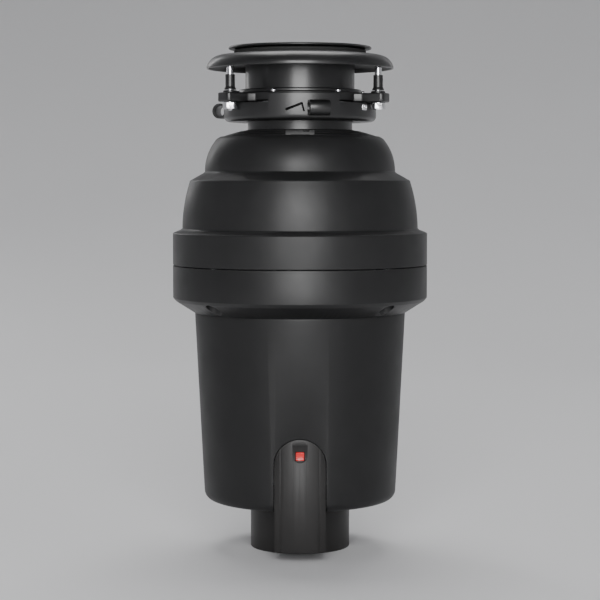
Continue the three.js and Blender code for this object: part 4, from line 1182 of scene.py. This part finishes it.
class OBJECT_OT_disposer_lock_ring(bpy.types.Operator):
    """Models the locking ring with its tabs, ramps and rolled wrench sockets"""

    bl_idname = "object.disposer_lock_ring"
    bl_label = "Locking ring"

    def execute(self, context):
        size = Millimetres(context.scene.disposer_mount)
        ring = locking_ring(size)
        finish(ring, "locking_ring", "black_coated_steel", "lock_ring", ["lock_ring"])
        ring_stops(size)
        return {"FINISHED"}


# ------------------------------------------------------------------ hopper, gasket and baffle


def hopper(size):
    bottom, top = low("hopper").z, high("hopper").z
    neck = size.throat_radius - 1.8
    neck_top = top - 5.2
    lip = size.throat_radius + 9.1
    outer = CHAMBER_OUTER
    flange = -low("hopper").y
    skin = rounded([
        (flange, bottom, 0.3), (flange, bottom + 3.2, 0.8), (outer, bottom + 3.2, 1.2),
        (outer, bottom + 48, 14), (neck + 15, bottom + 68, 12), (neck, bottom + 94, 8),
        (neck, neck_top, 1.2), (lip, neck_top, 1.4), (lip, top, 1.2), (neck - 2.2, top, 1.0),
        (neck - 2.2, bottom + 94, 8), (neck + 12.5, bottom + 67, 12), (outer - 2.5, bottom + 48, 14),
        (outer - 2.5, bottom, 0.4),
    ], 7)
    piece = turn("hopper", skin)
    height = inlet_centre()
    end = high("hopper").y
    spigot = turn("spigot", rounded([(7.5, 0), (10, 0), (10, end - 66, 0.3), (10.7, end - 63, 0.6),
                                     (10, end - 60.5, 0.3), (10, end - 58, 0.6), (7.5, end - 58, 0.4)]),
                  SMALL_STEPS)
    lay_back(spigot, (0, 58, height))
    inside = bar("inside", outer - 2.4, (0, 0, bottom), (0, 0, bottom + 49), TURN_STEPS)
    carve(spigot, inside)
    weld(piece, spigot)
    return carve(piece, bar("bore", 7.5, (0, 40, height), (0, end + 9, height)))


def splash_baffle(size, flaps):
    bottom, top = low("splash_baffle").z, high("splash_baffle").z
    outer = -low("splash_baffle").y
    inner = outer - 2
    rim = bottom + 7
    piece = turn("baffle", rounded([
        (inner, bottom, 0.5), (outer, bottom, 0.5), (outer, top - 1.8, 0.4), (outer - 0.7, top, 0.7),
        (inner - 0.8, top, 0.5), (inner, top - 2.4, 0.6), (inner, rim + 2.4, 2.5),
        (24, rim + 1.4, 12), (9, rim - 2.6, 0.4), (9, rim - 4.4, 0.4), (24, rim - 0.6, 12),
        (inner, rim + 0.2, 1.5)], 6))
    end, over = -inner + 5, rim + 6
    slits = [swing(block("slit", (-0.5, end, bottom + 0.5), (0.5, -6, over)), 360 / flaps * k)
             for k in range(flaps)]
    ends = [swing(bar("slit_end", 1.1, (0, end, bottom + 0.5), (0, end, over), 24),
                  360 / flaps * k) for k in range(flaps)]
    carve(piece, *slits, *ends)
    return soften(piece, 0.25, 2, 50)


def cushion(size):
    bottom, top = low("mounting_gasket").z, high("mounting_gasket").z
    outer = -low("mounting_gasket").y
    inner = size.throat_radius - 5.9
    sleeve_outer = inner + 1.5
    shelf = top - 3.3
    return turn("cushion", rounded([(inner, bottom, 0.5), (sleeve_outer, bottom, 0.5),
                                    (sleeve_outer, shelf, 0.3), (outer, shelf, 0.9),
                                    (outer, shelf + 1.4, 0.3), (outer - 0.6, shelf + 1.7, 0.3),
                                    (outer, shelf + 2.0, 0.3), (outer, top, 0.9), (inner, top, 0.7)], 4))


class OBJECT_OT_disposer_hopper(bpy.types.Operator):
    """Models the hopper with its neck, the mounting gasket and the splash baffle"""

    bl_idname = "object.disposer_hopper"
    bl_label = "Hopper and baffle"

    def execute(self, context):
        size = Millimetres(context.scene.disposer_mount)
        finish(hopper(size), "hopper_body", "black_coated_steel", nodes=["hopper"])
        finish(cushion(size), "mounting_cushion", "black_rubber",
               nodes=["mounting_gasket"])
        flaps = context.scene.disposer_mount.baffle_flaps
        finish(splash_baffle(size, flaps), "baffle", "black_rubber", "splash_baffle",
               ["splash_baffle"])
        return {"FINISHED"}


# ------------------------------------------------------------------ outlet and cord gland


def discharge_chamber():
    bottom, top = low("lower_chamber").z, high("lower_chamber").z
    under = top - 39.5
    outer, inner = CHAMBER_OUTER, CHAMBER_INNER
    flange = -low("lower_chamber").y
    bowl = turn("bowl", rounded([
        (13.4, under), (outer, under, 7), (outer, top - 3.2, 1), (flange, top - 3.2, 0.6),
        (flange, top, 0.4), (inner, top, 0.4), (inner, under + 3.5, 5), (16, under + 3.5, 0.8),
        (16, under + 7, 0.6), (13.4, under + 7, 0.4)], 6))
    end = high("lower_chamber").y
    start = inner - 24
    reach = end - start
    pipe = turn("pipe", rounded([
        (PIPE_INNER, 0), (PIPE_OUTER, 0, 0.5), (PIPE_OUTER, reach - 13, 0.4),
        (PIPE_OUTER + 0.8, reach - 11.4, 0.6), (PIPE_OUTER, reach - 9.8, 0.4),
        (PIPE_OUTER, reach - 7, 0.4), (PIPE_OUTER + 0.8, reach - 5.4, 0.6),
        (PIPE_OUTER, reach - 3.8, 0.4), (PIPE_OUTER, reach, 0.7), (PIPE_INNER, reach, 0.7)]), 96)
    lay_back(pipe, (0, start, outlet_centre()))
    clear = turn("clear", [Vector(p) for p in ((13.4, under + 3.5), (inner, under + 3.5),
                                               (inner, top + 2), (13.4, top + 2))])
    carve(pipe, clear)
    weld(bowl, pipe)
    return carve(bowl, bar("bore", PIPE_INNER, (0, start + 2.5, outlet_centre()),
                           (0, end + 5, outlet_centre()), 96))


def grommet():
    centre = middle("cord_grommet")
    piece = turn("grommet", rounded([
        (4.5, -3.4, 0.4), (9, -3.4, 0.6), (9, 0.4), (11.5, 0.4, 0.6), (11.5, 2.5, 1.2),
        (7.0, 4.4, 1.2), (6.5, 5, 0.5), (4.5, 5, 0.5)], 5), SMALL_STEPS)
    return lay_back(piece, (0, high("base_housing").y, centre.z))


class OBJECT_OT_disposer_outlets(bpy.types.Operator):
    """Models the discharge chamber with its pipe, and the cord gland"""

    bl_idname = "object.disposer_outlets"
    bl_label = "Outlet and cord gland"

    def execute(self, context):
        finish(discharge_chamber(), "discharge_chamber", "cast_aluminium",
               nodes=["lower_chamber"])
        finish(grommet(), "cord_gland", "black_rubber", nodes=["cord_grommet"])
        return {"FINISHED"}


# ------------------------------------------------------------------ inner works


class OBJECT_OT_disposer_inner_works(bpy.types.Operator):
    """Gives every CAD piece that stays the finish of its material"""

    bl_idname = "object.disposer_inner_works"
    bl_label = "Inner works"

    def execute(self, context):
        finishes = {
            "shell_plastic": "satin_shell",
            "canister_finish": "matt_canister",
            "base_plastic": "base_moulding",
            "black_steel": "black_coated_steel",
            "chrome_steel": "bright_plating",
            "steel": "brushed_steel",
            "aluminium": "cast_aluminium",
            "copper": "wound_copper",
            "brass": "stamped_brass",
            "ferrite": "sintered_ferrite",
            "black_rubber": "black_rubber",
            "red_plastic": "red_plastic",
            "board": "green_board",
            "foam": "grey_foam",
        }
        for subpart in frame["record"]["subparts"]:
            node = frame["nodes"][subpart["node"]]
            node.data.materials.clear()
            node.data.materials.append(material(finishes[subpart["material_slot"]]))
        return {"FINISHED"}


# ------------------------------------------------------------------ stage


def area_light(name, place, target, size, power):
    deselect_all()
    bpy.ops.object.light_add(type="AREA", location=place)
    light = bpy.context.object
    light.name = name
    light.data.shape = "RECTANGLE"
    light.data.size, light.data.size_y = size
    light.data.energy = power
    light.visible_camera = False
    light.rotation_euler = (Vector(target) - Vector(place)).to_track_quat("-Z", "Y").to_euler()
    return light


def backdrop(radius):
    """A round studio: a flat floor that curves up into a wall all round."""
    flat = 0.35 * radius
    deselect_all()
    bpy.ops.mesh.primitive_circle_add(vertices=96, radius=flat, fill_type="NGON")
    piece = bpy.context.object
    bpy.ops.object.mode_set(mode="EDIT")
    bpy.ops.mesh.select_all(action="SELECT")
    bpy.ops.mesh.inset(thickness=flat * 0.5)
    pick(piece, "edges", lambda edge: edge.is_boundary)
    sweep = 24
    curve = radius - flat
    before = (0.0, 0.0)
    for k in range(1, sweep + 1):
        angle = math.pi / 2 * k / sweep
        here = (curve * math.sin(angle), curve * (1 - math.cos(angle)))
        move = {"value": (0, 0, here[1] - before[1])}
        bpy.ops.mesh.extrude_region_move(TRANSFORM_OT_translate=move)
        share = (flat + here[0]) / (flat + before[0])
        bpy.ops.transform.resize(value=(share, share, 1))
        before = here
    bpy.ops.mesh.extrude_region_move(TRANSFORM_OT_translate={"value": (0, 0, radius * 0.5)})
    bpy.ops.mesh.select_all(action="SELECT")
    bpy.ops.mesh.normals_make_consistent(inside=True)
    bpy.ops.object.mode_set(mode="OBJECT")
    piece.name = "studio"
    piece.data.materials.append(material("pale_floor"))
    smooth(piece, 40)
    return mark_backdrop(piece)


def place_camera(stage):
    aim = Vector((0, 0, stage.aim_height))
    place = Vector((0, -stage.camera_distance, stage.camera_height))
    deselect_all()
    bpy.ops.object.camera_add(location=place)
    camera = bpy.context.object
    camera.name = "camera"
    camera.rotation_euler = (aim - place).to_track_quat("-Z", "Y").to_euler()
    camera.data.sensor_width = 36
    camera.data.lens = 18 / math.tan(stage.view_angle / 2)
    camera.data.clip_end = 30
    bpy.context.scene.camera = camera


class OBJECT_OT_disposer_stage(bpy.types.Operator):
    """Sets the studio, its soft lights and the camera"""

    bl_idname = "object.disposer_stage"
    bl_label = "Stage"

    def execute(self, context):
        stage = context.scene.disposer_stage
        place_camera(stage)
        backdrop(stage.studio_radius)
        aim = (0, 0, 0.22)
        area_light("front_soft", (0, -2.3, 0.8), aim, (1.25, 1.5), 64)
        area_light("left_rim", (-1.15, 1.75, 1.0), aim, (0.3, 1.1), 4)
        area_light("right_rim", (1.0, 1.95, 1.0), aim, (0.12, 1.1), 0.5)
        area_light("top_soft", (0, 1.1, 2.7), (0, 0.1, 0), (1.8, 1.8), 42)
        world = bpy.data.worlds.new("studio_air")
        context.scene.world = world
        world.use_nodes = True
        world.node_tree.nodes["Background"].inputs["Color"].default_value = (0.9, 0.92, 1, 1)
        world.node_tree.nodes["Background"].inputs["Strength"].default_value = 0.06
        return {"FINISHED"}


# ------------------------------------------------------------------ panel and registration

OPERATORS = (
    OBJECT_OT_disposer_stage,
    OBJECT_OT_disposer_inner_works,
    OBJECT_OT_disposer_housing,
    OBJECT_OT_disposer_canister,
    OBJECT_OT_disposer_base,
    OBJECT_OT_disposer_reset_button,
    OBJECT_OT_disposer_sink_flange,
    OBJECT_OT_disposer_upper_ring,
    OBJECT_OT_disposer_lock_ring,
    OBJECT_OT_disposer_hopper,
    OBJECT_OT_disposer_outlets,
)


class VIEW3D_PT_disposer(bpy.types.Panel):
    """Lists the sizes, the finishes and the steps that model the disposer"""

    bl_label = "Waste disposer"
    bl_idname = "VIEW3D_PT_disposer"
    bl_space_type = "VIEW_3D"
    bl_region_type = "UI"
    bl_category = "Disposer"

    def draw(self, context):
        for operator in OPERATORS:
            self.layout.operator(operator.bl_idname)
        for name in GROUPS:
            group = getattr(context.scene, name)
            box = self.layout.box()
            for prop in group.__annotations__:
                box.prop(group, prop)


def register():
    for name, group in GROUPS.items():
        bpy.utils.register_class(group)
        setattr(bpy.types.Scene, name, PointerProperty(type=group))
    for operator in OPERATORS:
        bpy.utils.register_class(operator)
    bpy.utils.register_class(VIEW3D_PT_disposer)


def unregister():
    bpy.utils.unregister_class(VIEW3D_PT_disposer)
    for operator in reversed(OPERATORS):
        bpy.utils.unregister_class(operator)
    for name, group in GROUPS.items():
        delattr(bpy.types.Scene, name)
        bpy.utils.unregister_class(group)


def main():
    register()
    bpy.ops.object.disposer_stage()
    bpy.ops.object.disposer_inner_works()
    bpy.ops.object.disposer_housing()
    bpy.ops.object.disposer_canister()
    bpy.ops.object.disposer_base()
    bpy.ops.object.disposer_reset_button()
    bpy.ops.object.disposer_sink_flange()
    bpy.ops.object.disposer_upper_ring()
    bpy.ops.object.disposer_lock_ring()
    bpy.ops.object.disposer_hopper()
    bpy.ops.object.disposer_outlets()


if __name__ == "__main__":
    main()
